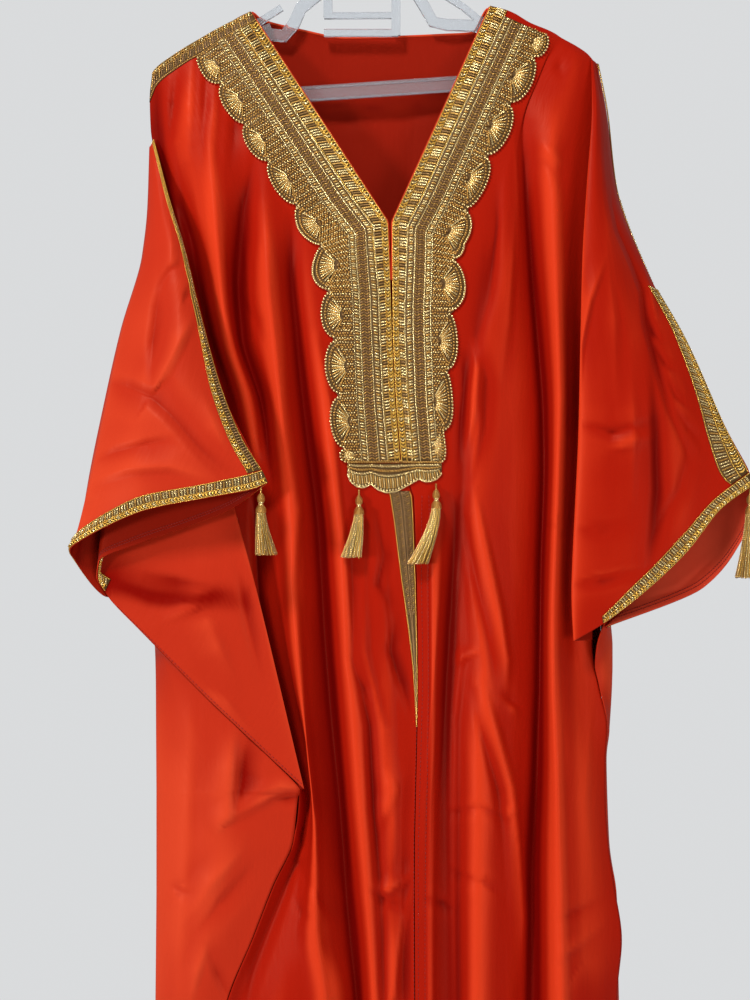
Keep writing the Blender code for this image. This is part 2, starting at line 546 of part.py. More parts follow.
def yoke_rows(yoke):
    """For each row: how far along the band it is, and how far its outer rim stands from the edge."""
    rows = []
    ends = [(s.start, s.valley) for s in yoke.scallops[1:]] + [yoke.end]
    for scallop, (finish, last) in zip(yoke.scallops, ends):
        for step in range(SCALLOP_STEPS):
            share = step / SCALLOP_STEPS
            bulge = math.sqrt(1 - (2 * share - 1) ** 2)
            valley = scallop.valley + share * (last - scallop.valley)
            along = scallop.start + share * (finish - scallop.start)
            rows.append((along, valley + bulge * (scallop.crest - valley)))
    rows.append(yoke.end)
    return rows


class Surface:
    """The outer faces of some sheets, asked where a line of sight meets them."""

    def __init__(self, sheets, side=1):
        points, faces = [], []
        for sheet in sheets:
            outer = sheet.grid + sheet.normals * side * CLOTH / 2
            rows, columns = outer.shape[:2]
            first = len(points)
            points += [Vector(p) for p in outer.reshape(-1, 3)]
            for i in range(rows - 1):
                for j in range(columns - 1):
                    a = first + i * columns + j
                    faces += [(a, a + columns, a + columns + 1), (a, a + columns + 1, a + 1)]
        self.tree = BVHTree.FromPolygons(points, faces)
        self.eye = Vector((VIEW_ACROSS - HOOK_ACROSS, -VIEW_DISTANCE, HOOK_DOWN - VIEW_DOWN))

    def hit(self, across, down):
        aim = Vector(place(across, down, 0.0)) - self.eye
        found = self.tree.ray_cast(self.eye, aim.normalized())[0]
        if found is None:
            found = self.tree.find_nearest(Vector(place(across, down, -20.0)))[0]
        return np.array(found)


def add_yoke(name, yoke, surface, galon):
    """The embroidered band, on the front's own face moved out, with its cords raised on it."""
    front, back = [], []
    toward = np.array((0.0, -1.0, 0.0))
    for along, rim in yoke_rows(yoke):
        edge = walk(yoke.path, along)
        turn = (along - YOKE_STRAIGHT[0]) / (YOKE_STRAIGHT[1] - YOKE_STRAIGHT[0])
        angle = math.radians(yoke.slant) * (1 - min(max(turn, 0.0), 1.0))
        inner = on_path(galon, edge[1]) + BESIDE_GALON
        front_row, back_row = [], []
        for share, height in YOKE_RIBS:
            width = inner + share * (rim - inner)
            found = surface.hit(edge[0] + yoke.side * width * math.cos(angle),
                                edge[1] + width * math.sin(angle))
            back_row.append(found + toward * YOKE_GAP)
            front_row.append(found + toward * (YOKE_GAP + YOKE_BED + height))
        front.append(front_row)
        back.append(back_row)
    add_wall(name, np.array(front), np.array(back), GOLD)


# The foot joins the two bands: (across, bottom edge), with a straight top
FOOT_TOP = 463.4
FOOT_EDGE = ((347, 474), (351, 483), (357, 488), (364, 489), (371, 485), (378, 491), (386, 494),
             (396, 493), (407, 487), (419, 480), (425, 483), (431, 482.5), (437, 480), (442, 474))
FOOT_ROWS = ((0.0, 0.9), (0.25, 0.3), (0.5, 0.9), (0.75, 0.3), (1.0, 1.0))


def add_foot(surface):
    front, back = [], []
    toward = np.array((0.0, -1.0, 0.0))
    for share, height in FOOT_ROWS:
        front_row, back_row = [], []
        for across, bottom in FOOT_EDGE:
            found = surface.hit(across, FOOT_TOP + share * (bottom - FOOT_TOP))
            back_row.append(found + toward * YOKE_GAP)
            front_row.append(found + toward * (YOKE_GAP + YOKE_BED + height))
        front.append(front_row)
        back.append(back_row)
    add_wall("yoke_foot", np.array(front), np.array(back), GOLD)


# Tassels: a cord, a bead and a cap in one turned head, with strands that part below it

Tassel = namedtuple("Tassel", "name top depth length lean forward depth_spread")
TASSELS = (
    Tassel("tassel_yoke_right", (359, 489.6), -38, 66, -7, 10, 0.45),
    Tassel("tassel_yoke_left", (436, 483.6), -37, 78, -18, 10, 0.45),
    Tassel("tassel_cuff_right", (261, 486.9), -93.4, 64, 5, 1, 1.0),
    Tassel("tassel_cuff_left", (750, 488.6), -59, 86, -4, 1, 1.0),
)
# Radius and drop of each ring of the head
HEAD_PROFILE = ((0.9, 0.0), (0.9, 6.0), (2.2, 7.0), (3.6, 10.0), (3.4, 13.0), (1.9, 15.5), (2.6, 17.0),
                (4.6, 20.0), (5.0, 24.0))
HEAD_SIDES = 12
HEAD_DROP = HEAD_PROFILE[-1][1]
# Strands in each ring of roots, and the ring's radius
STRAND_RINGS = ((1, 0.0), (7, 2.2), (14, 4.1))
STRAND_HALF_DIAGONAL = 0.82
STRAND_SPREAD = 2.7
# Share of the fall, and the strand's own width there
STRAND_STEPS = ((0.5, 1.0), (1.0, 0.7))


def round_points(radius, count, turn=0.0, centre=(0.0, 0.0)):
    steps = [turn + 2 * math.pi * k / count for k in range(count)]
    return [Vector((centre[0] + radius * math.cos(a), centre[1] + radius * math.sin(a))) for a in steps]


def strand_roots():
    """The centre of each strand where it leaves the head, and its turn."""
    for count, radius in STRAND_RINGS:
        for k in range(count):
            turn = 2 * math.pi * k / count
            yield Vector((radius * math.cos(turn), radius * math.sin(turn))), turn


def tassel_head(work, tassel):
    """The turned head, open below; its foot hangs forward of its top. Returns the lowest ring."""
    rings = []
    for radius, drop in HEAD_PROFILE:
        shift = -tassel.forward * drop / HEAD_DROP
        rings.append([work.verts.new((p.x, p.y + shift, -drop)) for p in round_points(radius, HEAD_SIDES)])
    work.faces.new(rings[0])
    for upper, lower in zip(rings, rings[1:]):
        for k in range(HEAD_SIDES):
            turn = (k + 1) % HEAD_SIDES
            work.faces.new((upper[k], lower[k], lower[turn], upper[turn]))
    return rings[-1]


def tassel_underside(work, tassel, rim):
    """Close the head below, but for the squares that the strands grow from. Returns the squares."""
    corners = round_points(HEAD_PROFILE[-1][0], HEAD_SIDES)
    edges = [(k, (k + 1) % HEAD_SIDES) for k in range(HEAD_SIDES)]
    squares = []
    for centre, turn in strand_roots():
        first = len(corners)
        corners += round_points(STRAND_HALF_DIAGONAL, 4, turn + math.pi / 4, centre)
        edges += [(first + k, first + (k + 1) % 4) for k in range(4)]
        squares.append([first + k for k in range(4)])
    points, _, triangles, sources, _, _ = delaunay_2d_cdt(corners, edges, [], 0, 1e-5)
    vert_of = {}
    verts = []
    for point, source in zip(points, sources):
        if source[0] < HEAD_SIDES:
            verts.append(rim[source[0]])
        else:
            verts.append(work.verts.new((point.x, point.y - tassel.forward, -HEAD_DROP)))
        vert_of.update({number: verts[-1] for number in source})
    own_square = {vert_of[number]: k for k, square in enumerate(squares) for number in square}
    for triangle in triangles:
        trio = [verts[k] for k in triangle]
        owners = {own_square.get(vert) for vert in trio}
        if len(owners) > 1 or None in owners:
            work.faces.new(trio)
    return [[vert_of[number] for number in square] for square in squares]


def add_strand(work, tassel, centre, root):
    """One square strand, grown from its root and fanned out as it falls."""
    ring = root
    for share, thin in STRAND_STEPS:
        fan = 1 + (STRAND_SPREAD - 1) * share ** 1.3
        deep = 1 + (fan - 1) * tassel.depth_spread
        middle = Vector((centre.x * fan + tassel.lean * share ** 1.5,
                         centre.y * deep - tassel.forward * (1 + 0.3 * share),
                         -HEAD_DROP - share * (tassel.length - HEAD_DROP)))
        lower = []
        for vert in root:
            own = Vector((vert.co.x - centre.x, vert.co.y + tassel.forward - centre.y, 0)) * thin
            lower.append(work.verts.new(middle + own))
        for k in range(4):
            turn = (k + 1) % 4
            work.faces.new((ring[k], lower[k], lower[turn], ring[turn]))
        ring = lower
    work.faces.new(ring)


def add_tassel(tassel):
    work = bmesh.new()
    rim = tassel_head(work, tassel)
    roots = tassel_underside(work, tassel, rim)
    for (centre, _), root in zip(strand_roots(), roots):
        add_strand(work, tassel, centre, root)
    top = place(*tassel.top, tassel.depth)
    bmesh.ops.translate(work, vec=Vector(top), verts=work.verts)
    bmesh.ops.scale(work, vec=(MM, MM, MM), verts=work.verts)
    mesh = bpy.data.meshes.new(tassel.name)
    work.to_mesh(mesh)
    work.free()
    return add_object(tassel.name, mesh, GOLD)


# The hanger: one clear moulding of flat bars, hung a few degrees low on the wearer's right

HANGER_HALF_THICKNESS = 2.1
Bar = namedtuple("Bar", "width line")
HOOK_RADIUS, HOOK_WIDTH = 25.0, 6.0
HANGER_BARS = (
    Bar(9, ((368, -62), (366, -44), (365, -22))),
    Bar(13, ((330, -18), (365, -27), (402, -22))),
    Bar(12, ((332, -17), (315, -3), (301, 8), (294, 24), (284, 36), (262, 34))),
    Bar(11, ((400, -21), (414, -10), (424, 6), (433, 22), (447, 25), (477, 26))),
    Bar(6.5, ((246, 34), (258, 23), (280, 9))),
    Bar(6.5, ((491, 31), (477, 18.5), (463, 7), (444, -5))),
    Bar(16, ((268, 33), (214, 53), (176, 76))),
    Bar(16, ((480, 25), (530, 40), (578, 66))),
    Bar(12, ((178, 74), (169, 86), (173, 97), (186, 101))),
    Bar(12, ((574, 65), (584, 73), (579, 77), (566, 76))),
    Bar(15, ((178, 103), (380, 89.5), (574, 76))),
    Bar(9, ((328, -17), (328, 14))),
    Bar(9, ((396, -22), (396, 33))),
    Bar(6, ((326, 16), (396, 15.5))),
    Bar(7, ((326, 33), (396, 33))),
)


def hook_line():
    """The hook's own middle line: an open round, then the neck down to the stem."""
    points = []
    for degrees in range(205, -1, -12):
        turn = math.radians(degrees)
        points.append((HOOK_ACROSS + HOOK_RADIUS * math.cos(turn),
                       HOOK_DOWN - HOOK_WIDTH / 2 + HOOK_RADIUS * (1 - math.sin(turn))))
    return tuple(points) + ((384.6, -68), (378, -59), (369, -54), (368, -45))


def band_outline(line, width):
    """The outline of a flat bar of one width along a line."""
    line = np.array(line, float)
    run = np.gradient(line, axis=0)
    run /= np.linalg.norm(run, axis=1, keepdims=True)
    out = np.stack([-run[:, 1], run[:, 0]], axis=1) * width / 2
    ends = run * width * 0.3
    line[0] -= ends[0]
    line[-1] += ends[-1]
    return list(map(tuple, line + out)) + list(map(tuple, (line - out)[::-1]))


def add_hanger():
    corners, faces = [], []
    for bar in HANGER_BARS + (Bar(HOOK_WIDTH, hook_line()),):
        outline = band_outline(bar.line, bar.width)
        first = len(corners)
        corners += [Vector((across - HOOK_ACROSS, HOOK_DOWN - down)) for across, down in outline]
        faces.append(list(range(first, len(corners))))
    flat = delaunay_2d_cdt(corners, [], faces, 1, 1e-4)
    points = flat[0]
    triangles = [triangle for triangle, bars in zip(flat[2], flat[5]) if bars]
    work = bmesh.new()
    layers = []
    for depth in (-HANGER_HALF_THICKNESS, HANGER_HALF_THICKNESS):
        layers.append([work.verts.new((p.x * MM, depth * MM, p.y * MM)) for p in points])
    seen = {}
    for triangle in triangles:
        work.faces.new([layers[0][k] for k in triangle])
        work.faces.new([layers[1][k] for k in reversed(triangle)])
        for a, b in zip(triangle, triangle[1:] + triangle[:1]):
            seen[frozenset((a, b))] = None if frozenset((a, b)) in seen else (a, b)
    for pair in filter(None, seen.values()):
        a, b = pair
        work.faces.new((layers[0][b], layers[0][a], layers[1][a], layers[1][b]))
    loose = [vert for vert in work.verts if not vert.link_faces]
    bmesh.ops.delete(work, geom=loose, context="VERTS")
    bmesh.ops.dissolve_limit(work, angle_limit=math.radians(0.5), verts=work.verts, edges=work.edges)
    bmesh.ops.triangulate(work, faces=work.faces)
    mesh = bpy.data.meshes.new("hanger")
    work.to_mesh(mesh)
    work.free()
    return add_object("hanger", mesh, CLEAR)


def row_of(down):
    """The row of a body panel's grid that lies at one of LEVELS."""
    return len(SHOULDER_ROWS) + LEVELS.index(down)


def shoulder_rows(net, column, width):
    """The rows of a braid of this width, from the shoulder down, in one column."""
    share = width / (LEVELS[0] - net[0, column, 1])
    last = float(np.interp(share, SHOULDER_ROWS, range(len(SHOULDER_ROWS))))
    return (0, 1, min(2.0, (1 + last) / 2), last)


FINE = 2  # Columns to each gap between two fold lines of a front
GALON_START = 1.25
SHOULDER_BRAID_WIDTHS = ((0, 30), (1, 19), (2, 15), (4, 13), (8, 10), (12, 9), (14, 8), (16, 7.2), (18, 7.2))
BACK_BRAID_WIDTH = 14.0
FOOT_LEVEL, BRAID_LEVEL, OPENING_LEVEL = 462, 497, 727


def add_body():
    """The three body panels and the braids on them. Returns the two fronts for the yoke to lie on."""
    right_net = refined(front_right_net(), 1, FINE)
    right = add_sheet("front_right", placed(right_net))
    left = add_sheet("front_left", placed(refined(front_left_net(), 1, FINE)))
    rear_net = back_net()
    rear = add_sheet("back", placed(rear_net))

    last = right_net.shape[1] - 1
    galon_columns = range(last - FINE, last + 1)
    foot, braid, end = row_of(FOOT_LEVEL), row_of(BRAID_LEVEL), row_of(OPENING_LEVEL)
    galon_rows = (GALON_START,) + tuple(range(2, foot + 1))
    add_strip("galon_right", right, [galon_rows] * (FINE + 1), galon_columns, 1)
    add_strip("centre_braid", right, [tuple(range(braid, end + 1))] * (FINE + 1), galon_columns, 1)
    add_strip("galon_left", left, [tuple(range(foot + 1))] * (FINE + 1), range(FINE + 1), 1)

    rows = [shoulder_rows(right_net, k, on_path(SHOULDER_BRAID_WIDTHS, k)) for k in range(last + 1)]
    add_strip("shoulder_braid_right", right, rows, range(last + 1), 1)
    columns = range(rear_net.shape[1] - 5, rear_net.shape[1])
    rows = [shoulder_rows(rear_net, k, BACK_BRAID_WIDTH) for k in columns]
    add_strip("shoulder_braid_left", rear, rows, columns, -1)
    return right, left


TWISTED_LIFT = 0.8


def add_sleeves():
    """The four halves of the sleeves, with the braid along each top seam and round each cuff."""
    right_back = add_sheet("sleeve_right_back", placed(sleeve_net(
        SLEEVE_RIGHT_BACK, REAR_SEAM_RIGHT, RIGHT_REAR_DOWNS, -REAR_SEAM_EASE)))
    right_front = add_sheet("sleeve_right_front", placed(refined(sleeve_net(SLEEVE_RIGHT_FRONT), 2, 1)))
    left_front = add_sheet("sleeve_left_front", placed(sleeve_net(SLEEVE_LEFT_FRONT)))
    left_back = add_sheet("sleeve_left_back", placed(sleeve_net(
        SLEEVE_LEFT_BACK, REAR_SEAM_LEFT, LEFT_REAR_DOWNS, REAR_SEAM_EASE)))

    add_strip("sleeve_braid_right", right_back, [(0, 1, 2, 3, 4, 5, 5.93)] * 2, (0, 1), -1)
    add_strip("sleeve_braid_left", left_front, [(3.2, 4, 5, 5.93)] * 2, (5, 6), 1, TWISTED_LIFT)
    add_strip("sleeve_braid_left_upper", left_back, [(0, 1, 2, 3, 3.14)] * 2, (0, 1), 1)

    cuff = [(6, 7), (6, 7), (6, 7), (6, 7), (6.2, 7), (6.2, 7), (6.45, 7)]
    add_strip("cuff_braid_right_back", right_back, cuff, range(7), -1)
    add_strip("cuff_braid_right_front", right_front, [(9, 10)] * 6, range(6), 1)
    cuff = [(6.7, 7), (6.3, 7), (6, 7), (6, 7), (6, 7)]
    add_strip("cuff_braid_left_front", left_front, cuff, range(2, 7), 1, TWISTED_LIFT)
    cuff = [(6, 7), (6, 7), (6, 7), (6.2, 7), (6.6, 7)]
    add_strip("cuff_braid_left_back", left_back, cuff, range(5), 1)


def main():
    for item in list(bpy.context.scene.objects):
        bpy.data.objects.remove(item)
    fronts = Surface(add_body())
    add_sleeves()
    add_sheet("gore_right", placed(gore_net(SIDE_GORE_RIGHT, REAR_SEAM_RIGHT, -REAR_SEAM_EASE)))
    add_sheet("gore_left", placed(gore_net(SIDE_GORE_LEFT, REAR_SEAM_LEFT, REAR_SEAM_EASE)))
    add_yoke("yoke_right", YOKE_RIGHT, fronts, GALON_RIGHT)
    add_yoke("yoke_left", YOKE_LEFT, fronts, GALON_LEFT)
    add_foot(fronts)
    for tassel in TASSELS:
        add_tassel(tassel)
    add_hanger()


main()
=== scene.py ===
# %% [markdown]
# # A jebba on a clear plastic hanger
# The gown is satin, cut wide, with a gold braid yoke. The CAD gives its folds in coarse steps.
# Here each panel is made again on the same lines with many more cells, and the creases are laid in one by
# one.

# %% The frame
import math
from collections import namedtuple

import bmesh
import bpy
import numpy as np
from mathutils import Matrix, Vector
from mathutils.bvhtree import BVHTree


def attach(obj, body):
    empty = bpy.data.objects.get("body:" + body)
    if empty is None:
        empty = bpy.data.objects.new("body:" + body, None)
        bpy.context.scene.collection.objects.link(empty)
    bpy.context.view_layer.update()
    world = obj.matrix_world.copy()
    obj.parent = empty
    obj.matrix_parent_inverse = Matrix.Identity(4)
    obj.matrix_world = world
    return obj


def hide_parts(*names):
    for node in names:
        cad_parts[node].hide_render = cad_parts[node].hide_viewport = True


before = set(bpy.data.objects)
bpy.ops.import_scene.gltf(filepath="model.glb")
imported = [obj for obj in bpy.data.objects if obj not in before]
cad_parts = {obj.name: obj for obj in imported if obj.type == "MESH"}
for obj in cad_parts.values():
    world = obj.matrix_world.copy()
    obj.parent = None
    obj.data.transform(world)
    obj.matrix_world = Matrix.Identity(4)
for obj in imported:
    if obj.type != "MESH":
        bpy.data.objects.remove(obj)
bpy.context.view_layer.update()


def linked(name, data):
    """A new object of the scene with this mesh, lamp or lens."""
    item = bpy.data.objects.new(name, data)
    bpy.context.scene.collection.objects.link(item)
    return item


print("nodes", len(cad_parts))

# %% [markdown]
# The camera stands where the photograph was taken from: level, square on, at chest height.
# One millimetre of cloth at the plane of the hook is one pixel of the picture.

# %% The camera
lens = bpy.data.cameras.new("camera")
lens.lens, lens.sensor_width = 50.4, 36
camera = linked("camera", lens)
camera.location, camera.rotation_euler = (0.015, -1.4, -0.6), (math.radians(90), 0, 0)
bpy.context.scene.camera = camera
bpy.context.scene.view_settings.view_transform = "Standard"
print("camera", tuple(camera.location))

# %% [markdown]
# The light comes from above and from the left, and leaves the far sides of the folds dark. A lamp at
# chest height on the left draws the folds, one high above catches the shoulders and the sleeves, and a
# weaker pair fills the right and lights the back. The backdrop is pale where the camera looks at it
# and dim where it lights the cloth, so the folds keep their depth. The floor lies far below the hem.

# %% Lamps and floor
Lamp = namedtuple("Lamp", "name power size place aim")
LAMPS = (
    Lamp("key", 30, 0.5, (-2.2, -2.0, -0.7), (0.0, 0.0, -0.9)),
    Lamp("ceiling", 46, 0.5, (-0.9, -1.9, 1.5), (0.0, 0.0, -0.9)),
    Lamp("fill", 15, 1.0, (1.5, -2.2, -1.1), (0.1, 0.0, -0.9)),
    Lamp("rear", 16, 1.4, (0.7, 1.9, 0.9), (0.0, 0.0, -0.7)),
)
for lamp in LAMPS:
    light = bpy.data.lights.new(lamp.name, "AREA")
    light.energy, light.size = lamp.power, lamp.size
    item = linked(lamp.name, light)
    item.location = lamp.place
    item.rotation_euler = (Vector(lamp.aim) - Vector(lamp.place)).to_track_quat("-Z", "Y").to_euler()
    item.visible_transmission = False
    item.visible_glossy = lamp.name != "rear"

world = bpy.data.worlds.new("room")
world.use_nodes = True
room = world.node_tree
dim = room.nodes["Background"]
dim.inputs["Color"].default_value, dim.inputs["Strength"].default_value = (0.93, 0.85, 0.80, 1), 0.24
pale = room.nodes.new("ShaderNodeBackground")
pale.inputs["Color"].default_value, pale.inputs["Strength"].default_value = (0.70, 0.71, 0.72, 1), 1.0
seen = room.nodes.new("ShaderNodeLightPath")
choice = room.nodes.new("ShaderNodeMixShader")
# The clear hanger shows the pale backdrop through itself, as it does to the eye
shown = room.nodes.new("ShaderNodeMath")
shown.operation = "MAXIMUM"
room.links.new(seen.outputs["Is Camera Ray"], shown.inputs[0])
room.links.new(seen.outputs["Is Transmission Ray"], shown.inputs[1])
room.links.new(shown.outputs[0], choice.inputs[0])
room.links.new(dim.outputs[0], choice.inputs[1])
room.links.new(pale.outputs[0], choice.inputs[2])
room.links.new(choice.outputs[0], room.nodes["World Output"].inputs["Surface"])
bpy.context.scene.world = world

FLOOR_LEVEL, FLOOR_REACH = -1.62, 1.4
FLOOR_SIDES = 96
turns = [2 * math.pi * k / FLOOR_SIDES for k in range(FLOOR_SIDES)]
floor_mesh = bpy.data.meshes.new("floor")
rim = [(FLOOR_REACH * math.cos(turn), FLOOR_REACH * math.sin(turn), FLOOR_LEVEL) for turn in turns]
floor_mesh.from_pydata(rim, [], [range(FLOOR_SIDES)])
linked("floor", floor_mesh)
print("lamps", len(LAMPS))

# %% [markdown]
# Effects that several finishes share are node groups: a fine weave, a soft change of colour over the
# piece, and the twist of a thread. Each gives only a colour, a mask or a height.

# %% Helpers for node trees
def group_of(name, kind, inputs, outputs):
    """A new node group with its sockets, and its input and output nodes."""
    tree = bpy.data.node_groups.new(name, kind)
    for label, socket, value in inputs:
        made = tree.interface.new_socket(label, in_out="INPUT", socket_type=socket)
        if value is not None:
            made.default_value = value
    for label, socket in outputs:
        tree.interface.new_socket(label, in_out="OUTPUT", socket_type=socket)
    return tree, tree.nodes.new("NodeGroupInput"), tree.nodes.new("NodeGroupOutput")


def node(tree, kind, settings=None, **inputs):
    """A node with its settings, and its inputs given as values or as sockets to link."""
    made = tree.nodes.new(kind)
    for key, value in (settings or {}).items():
        setattr(made, key, value)
    for key, value in inputs.items():
        socket = made.inputs[int(key[1:])] if key[1:].isdigit() else made.inputs[key.replace("_", " ")]
        if isinstance(value, bpy.types.NodeSocket):
            tree.links.new(value, socket)
        else:
            socket.default_value = value
    return made


def maths(tree, operation, first, second=0.0):
    return node(tree, "ShaderNodeMath", {"operation": operation}, i0=first, i1=second).outputs[0]


# %% The shared effects
def weave_group():
    """Satin's fine floats: long threads one way, short ones the other, and slubs now and then."""
    tree, given, out = group_of("weave", "ShaderNodeTree", (
        ("Vector", "NodeSocketVector", None), ("Threads per metre", "NodeSocketFloat", 1400.0)),
        (("Height", "NodeSocketFloat"), ("Slub", "NodeSocketFloat")))
    scaled = node(tree, "ShaderNodeVectorMath", {"operation": "MULTIPLY"}, i0=given.outputs[0],
                  i1=(1.0, 0.16, 1.0)).outputs[0]
    floats = node(tree, "ShaderNodeTexNoise", Vector=scaled, Scale=given.outputs[1], Detail=1.0)
    slubs = node(tree, "ShaderNodeTexNoise", Vector=scaled, Scale=210.0, Detail=3.0)
    tree.links.new(floats.outputs[0], out.inputs[0])
    tree.links.new(slubs.outputs[0], out.inputs[1])
    return tree


def drift_group():
    """A slow change from place to place, for colour that is never quite even."""
    tree, given, out = group_of("drift", "ShaderNodeTree", (
        ("Vector", "NodeSocketVector", None), ("Scale", "NodeSocketFloat", 9.0),
        ("First", "NodeSocketColor", (1, 1, 1, 1)), ("Second", "NodeSocketColor", (0, 0, 0, 1))),
        (("Color", "NodeSocketColor"), ("Mask", "NodeSocketFloat")))
    cloud = node(tree, "ShaderNodeTexNoise", Vector=given.outputs[0], Scale=given.outputs[1], Detail=3.0)
    mixed = node(tree, "ShaderNodeMix", {"data_type": "RGBA"}, i0=cloud.outputs[0],
                 i6=given.outputs[2], i7=given.outputs[3])
    tree.links.new(mixed.outputs[2], out.inputs[0])
    tree.links.new(cloud.outputs[0], out.inputs[1])
    return tree


def twist_group():
    """The slanting strands of a twisted thread, from how far along and how far round a point lies."""
    tree, given, out = group_of("twist", "ShaderNodeTree", (("Turns per metre", "NodeSocketFloat", 400.0),),
                                (("Height", "NodeSocketFloat"),))
    along = node(tree, "ShaderNodeAttribute", {"attribute_name": "along"}).outputs["Fac"]
    around = node(tree, "ShaderNodeAttribute", {"attribute_name": "around"}).outputs["Fac"]
    turns = maths(tree, "ADD", maths(tree, "MULTIPLY", along, given.outputs[0]),
                  maths(tree, "MULTIPLY", around, 3.0))
    height = maths(tree, "SINE", maths(tree, "MULTIPLY", turns, 2 * math.pi))
    tree.links.new(height, out.inputs[0])
    return tree


WEAVE, DRIFT, TWIST = weave_group(), drift_group(), twist_group()
print("shared groups", WEAVE.name, DRIFT.name, TWIST.name)

# %% [markdown]
# Satin is smooth thread floats over a dull ground, so it is not a mirror: it has a broad, soft gloss.
# Its base colour is painted light and shade: orange on the ridges and deep red in the folds. Each panel
# carries an attribute that says how far a place lies in a hollow, and the painted shade follows it.

# %% Finishes
def finish_of(name, roughness, metallic=0.0, specular=0.5):
    """A new material, its tree and its shader."""
    material = bpy.data.materials.new(name)
    material.use_nodes = True
    shader = material.node_tree.nodes["Principled BSDF"]
    shader.inputs["Roughness"].default_value = roughness
    shader.inputs["Metallic"].default_value = metallic
    shader.inputs["Specular IOR Level"].default_value = specular
    return material, material.node_tree, shader


def use_group(tree, group, **inputs):
    return node(tree, "ShaderNodeGroup", {"node_tree": group}, **inputs)


def drifting(tree, shader, scale, light, deep):
    """Give the shader a colour that drifts between two tones over the piece."""
    spot = node(tree, "ShaderNodeTexCoord").outputs["Object"]
    colour = use_group(tree, DRIFT, Vector=spot, Scale=scale, First=light + (1,), Second=deep + (1,))
    tree.links.new(colour.outputs[0], shader.inputs["Base Color"])
    return colour


def satin_finish(name, ridge, face, painted_fold_shade, roughness):
    material, tree, shader = finish_of(name, roughness, specular=0.13)
    shader.inputs["Specular Tint"].default_value = (1.0, 0.42, 0.26, 1)
    place = node(tree, "ShaderNodeTexCoord").outputs["UV"]
    spot = node(tree, "ShaderNodeTexCoord").outputs["Object"]
    weave = use_group(tree, WEAVE, Vector=place)
    # The colour ramp paints shade into the folds and light onto the ridges, by how far a place lies in a
    # hollow
    depth = node(tree, "ShaderNodeAttribute", {"attribute_name": "painted_fold_shade"}).outputs["Fac"]
    ramp = node(tree, "ShaderNodeValToRGB", Fac=depth)
    ramp.color_ramp.interpolation = "EASE"
    ramp.color_ramp.elements[0].color = ridge + (1,)
    ramp.color_ramp.elements[1].color = painted_fold_shade + (1,)
    ramp.color_ramp.elements.new(0.5).color = face + (1,)
    shade = use_group(tree, DRIFT, Vector=spot, Scale=7.0, First=(1, 1, 1, 1), Second=(0.86, 0.8, 0.8, 1))
    colour = node(tree, "ShaderNodeMix", {"data_type": "RGBA", "blend_type": "MULTIPLY"}, i0=1.0,
                  i6=ramp.outputs[0], i7=shade.outputs[0])
    tree.links.new(colour.outputs[2], shader.inputs["Base Color"])
    rough = maths(tree, "ADD", maths(tree, "MULTIPLY", weave.outputs[1], 0.12), roughness - 0.06)
    tree.links.new(rough, shader.inputs["Roughness"])
    fine = node(tree, "ShaderNodeBump", Height=weave.outputs[0], Strength=0.12, Distance=0.0004)
    soft = node(tree, "ShaderNodeBump", Height=weave.outputs[1], Strength=0.22, Distance=0.0012,
                Normal=fine.outputs[0])
    tree.links.new(soft.outputs[0], shader.inputs["Normal"])
    return material


def gold_finish(name, light, deep, roughness, metallic=0.8):
    material, tree, shader = finish_of(name, roughness, metallic)
    drifting(tree, shader, 160.0, light, deep)
    twist = use_group(tree, TWIST, Turns_per_metre=500.0)
    bump = node(tree, "ShaderNodeBump", Height=twist.outputs[0], Strength=0.6, Distance=0.0003)
    tree.links.new(bump.outputs[0], shader.inputs["Normal"])
    return material


def plain_finish(name, light, deep, roughness, scale=6.0):
    material, tree, shader = finish_of(name, roughness)
    drifting(tree, shader, scale, light, deep)
    return material


def clear_finish():
    material, tree, shader = finish_of("clear_plastic", 0.08)
    shader.inputs["Transmission Weight"].default_value = 0.84
    shader.inputs["IOR"].default_value = 1.49
    colour = drifting(tree, shader, 14.0, (0.84, 0.87, 0.90), (0.74, 0.78, 0.83))
    haze = maths(tree, "ADD", maths(tree, "MULTIPLY", colour.outputs[1], 0.08), 0.02)
    tree.links.new(haze, shader.inputs["Roughness"])
    return material


# Colours on a ridge (painted light), on a face and in a hollow (painted shade), then the roughness
SATIN = satin_finish("red_satin", (0.82, 0.070, 0.022), (0.62, 0.034, 0.011), (0.30, 0.003, 0.001), 0.4)
# A darker copy of the satin, with painted shade, for the fronts and the left sleeve's front
SHADED_SATIN = satin_finish("red_satin_in_shade", (0.82, 0.052, 0.013), (0.48, 0.012, 0.003),
                           (0.22, 0.002, 0.001), 0.4)
LINING = satin_finish("satin_wrong_side", (0.42, 0.018, 0.005), (0.34, 0.011, 0.003),
                      (0.24, 0.004, 0.002), 0.6)
LIT_LINING = satin_finish("satin_wrong_side_in_light", (1.0, 0.13, 0.06), (1.0, 0.11, 0.05),
                          (0.95, 0.08, 0.035), 0.6)
# A light and a deep tone, then the roughness
SEAM = plain_finish("red_sewing_thread", (0.42, 0.012, 0.005), (0.30, 0.008, 0.004), 0.6)
GOLD = gold_finish("gold_thread", (0.84, 0.50, 0.14), (0.58, 0.32, 0.08), 0.32)
# Bright gold and dark gold also serve as painted highlight and painted shade on the galon's pleats
BRIGHT = gold_finish("bright_gold_thread", (1.0, 0.84, 0.44), (0.95, 0.70, 0.28), 0.24)
YELLOW = gold_finish("yellow_gold_thread", (1.0, 0.68, 0.15), (0.86, 0.46, 0.07), 0.3)
DULL = gold_finish("dull_gold_thread", (0.56, 0.33, 0.14), (0.38, 0.21, 0.09), 0.36)
DARK = gold_finish("old_gold_thread_and_painted_shade", (0.40, 0.24, 0.09), (0.26, 0.15, 0.05), 0.36)
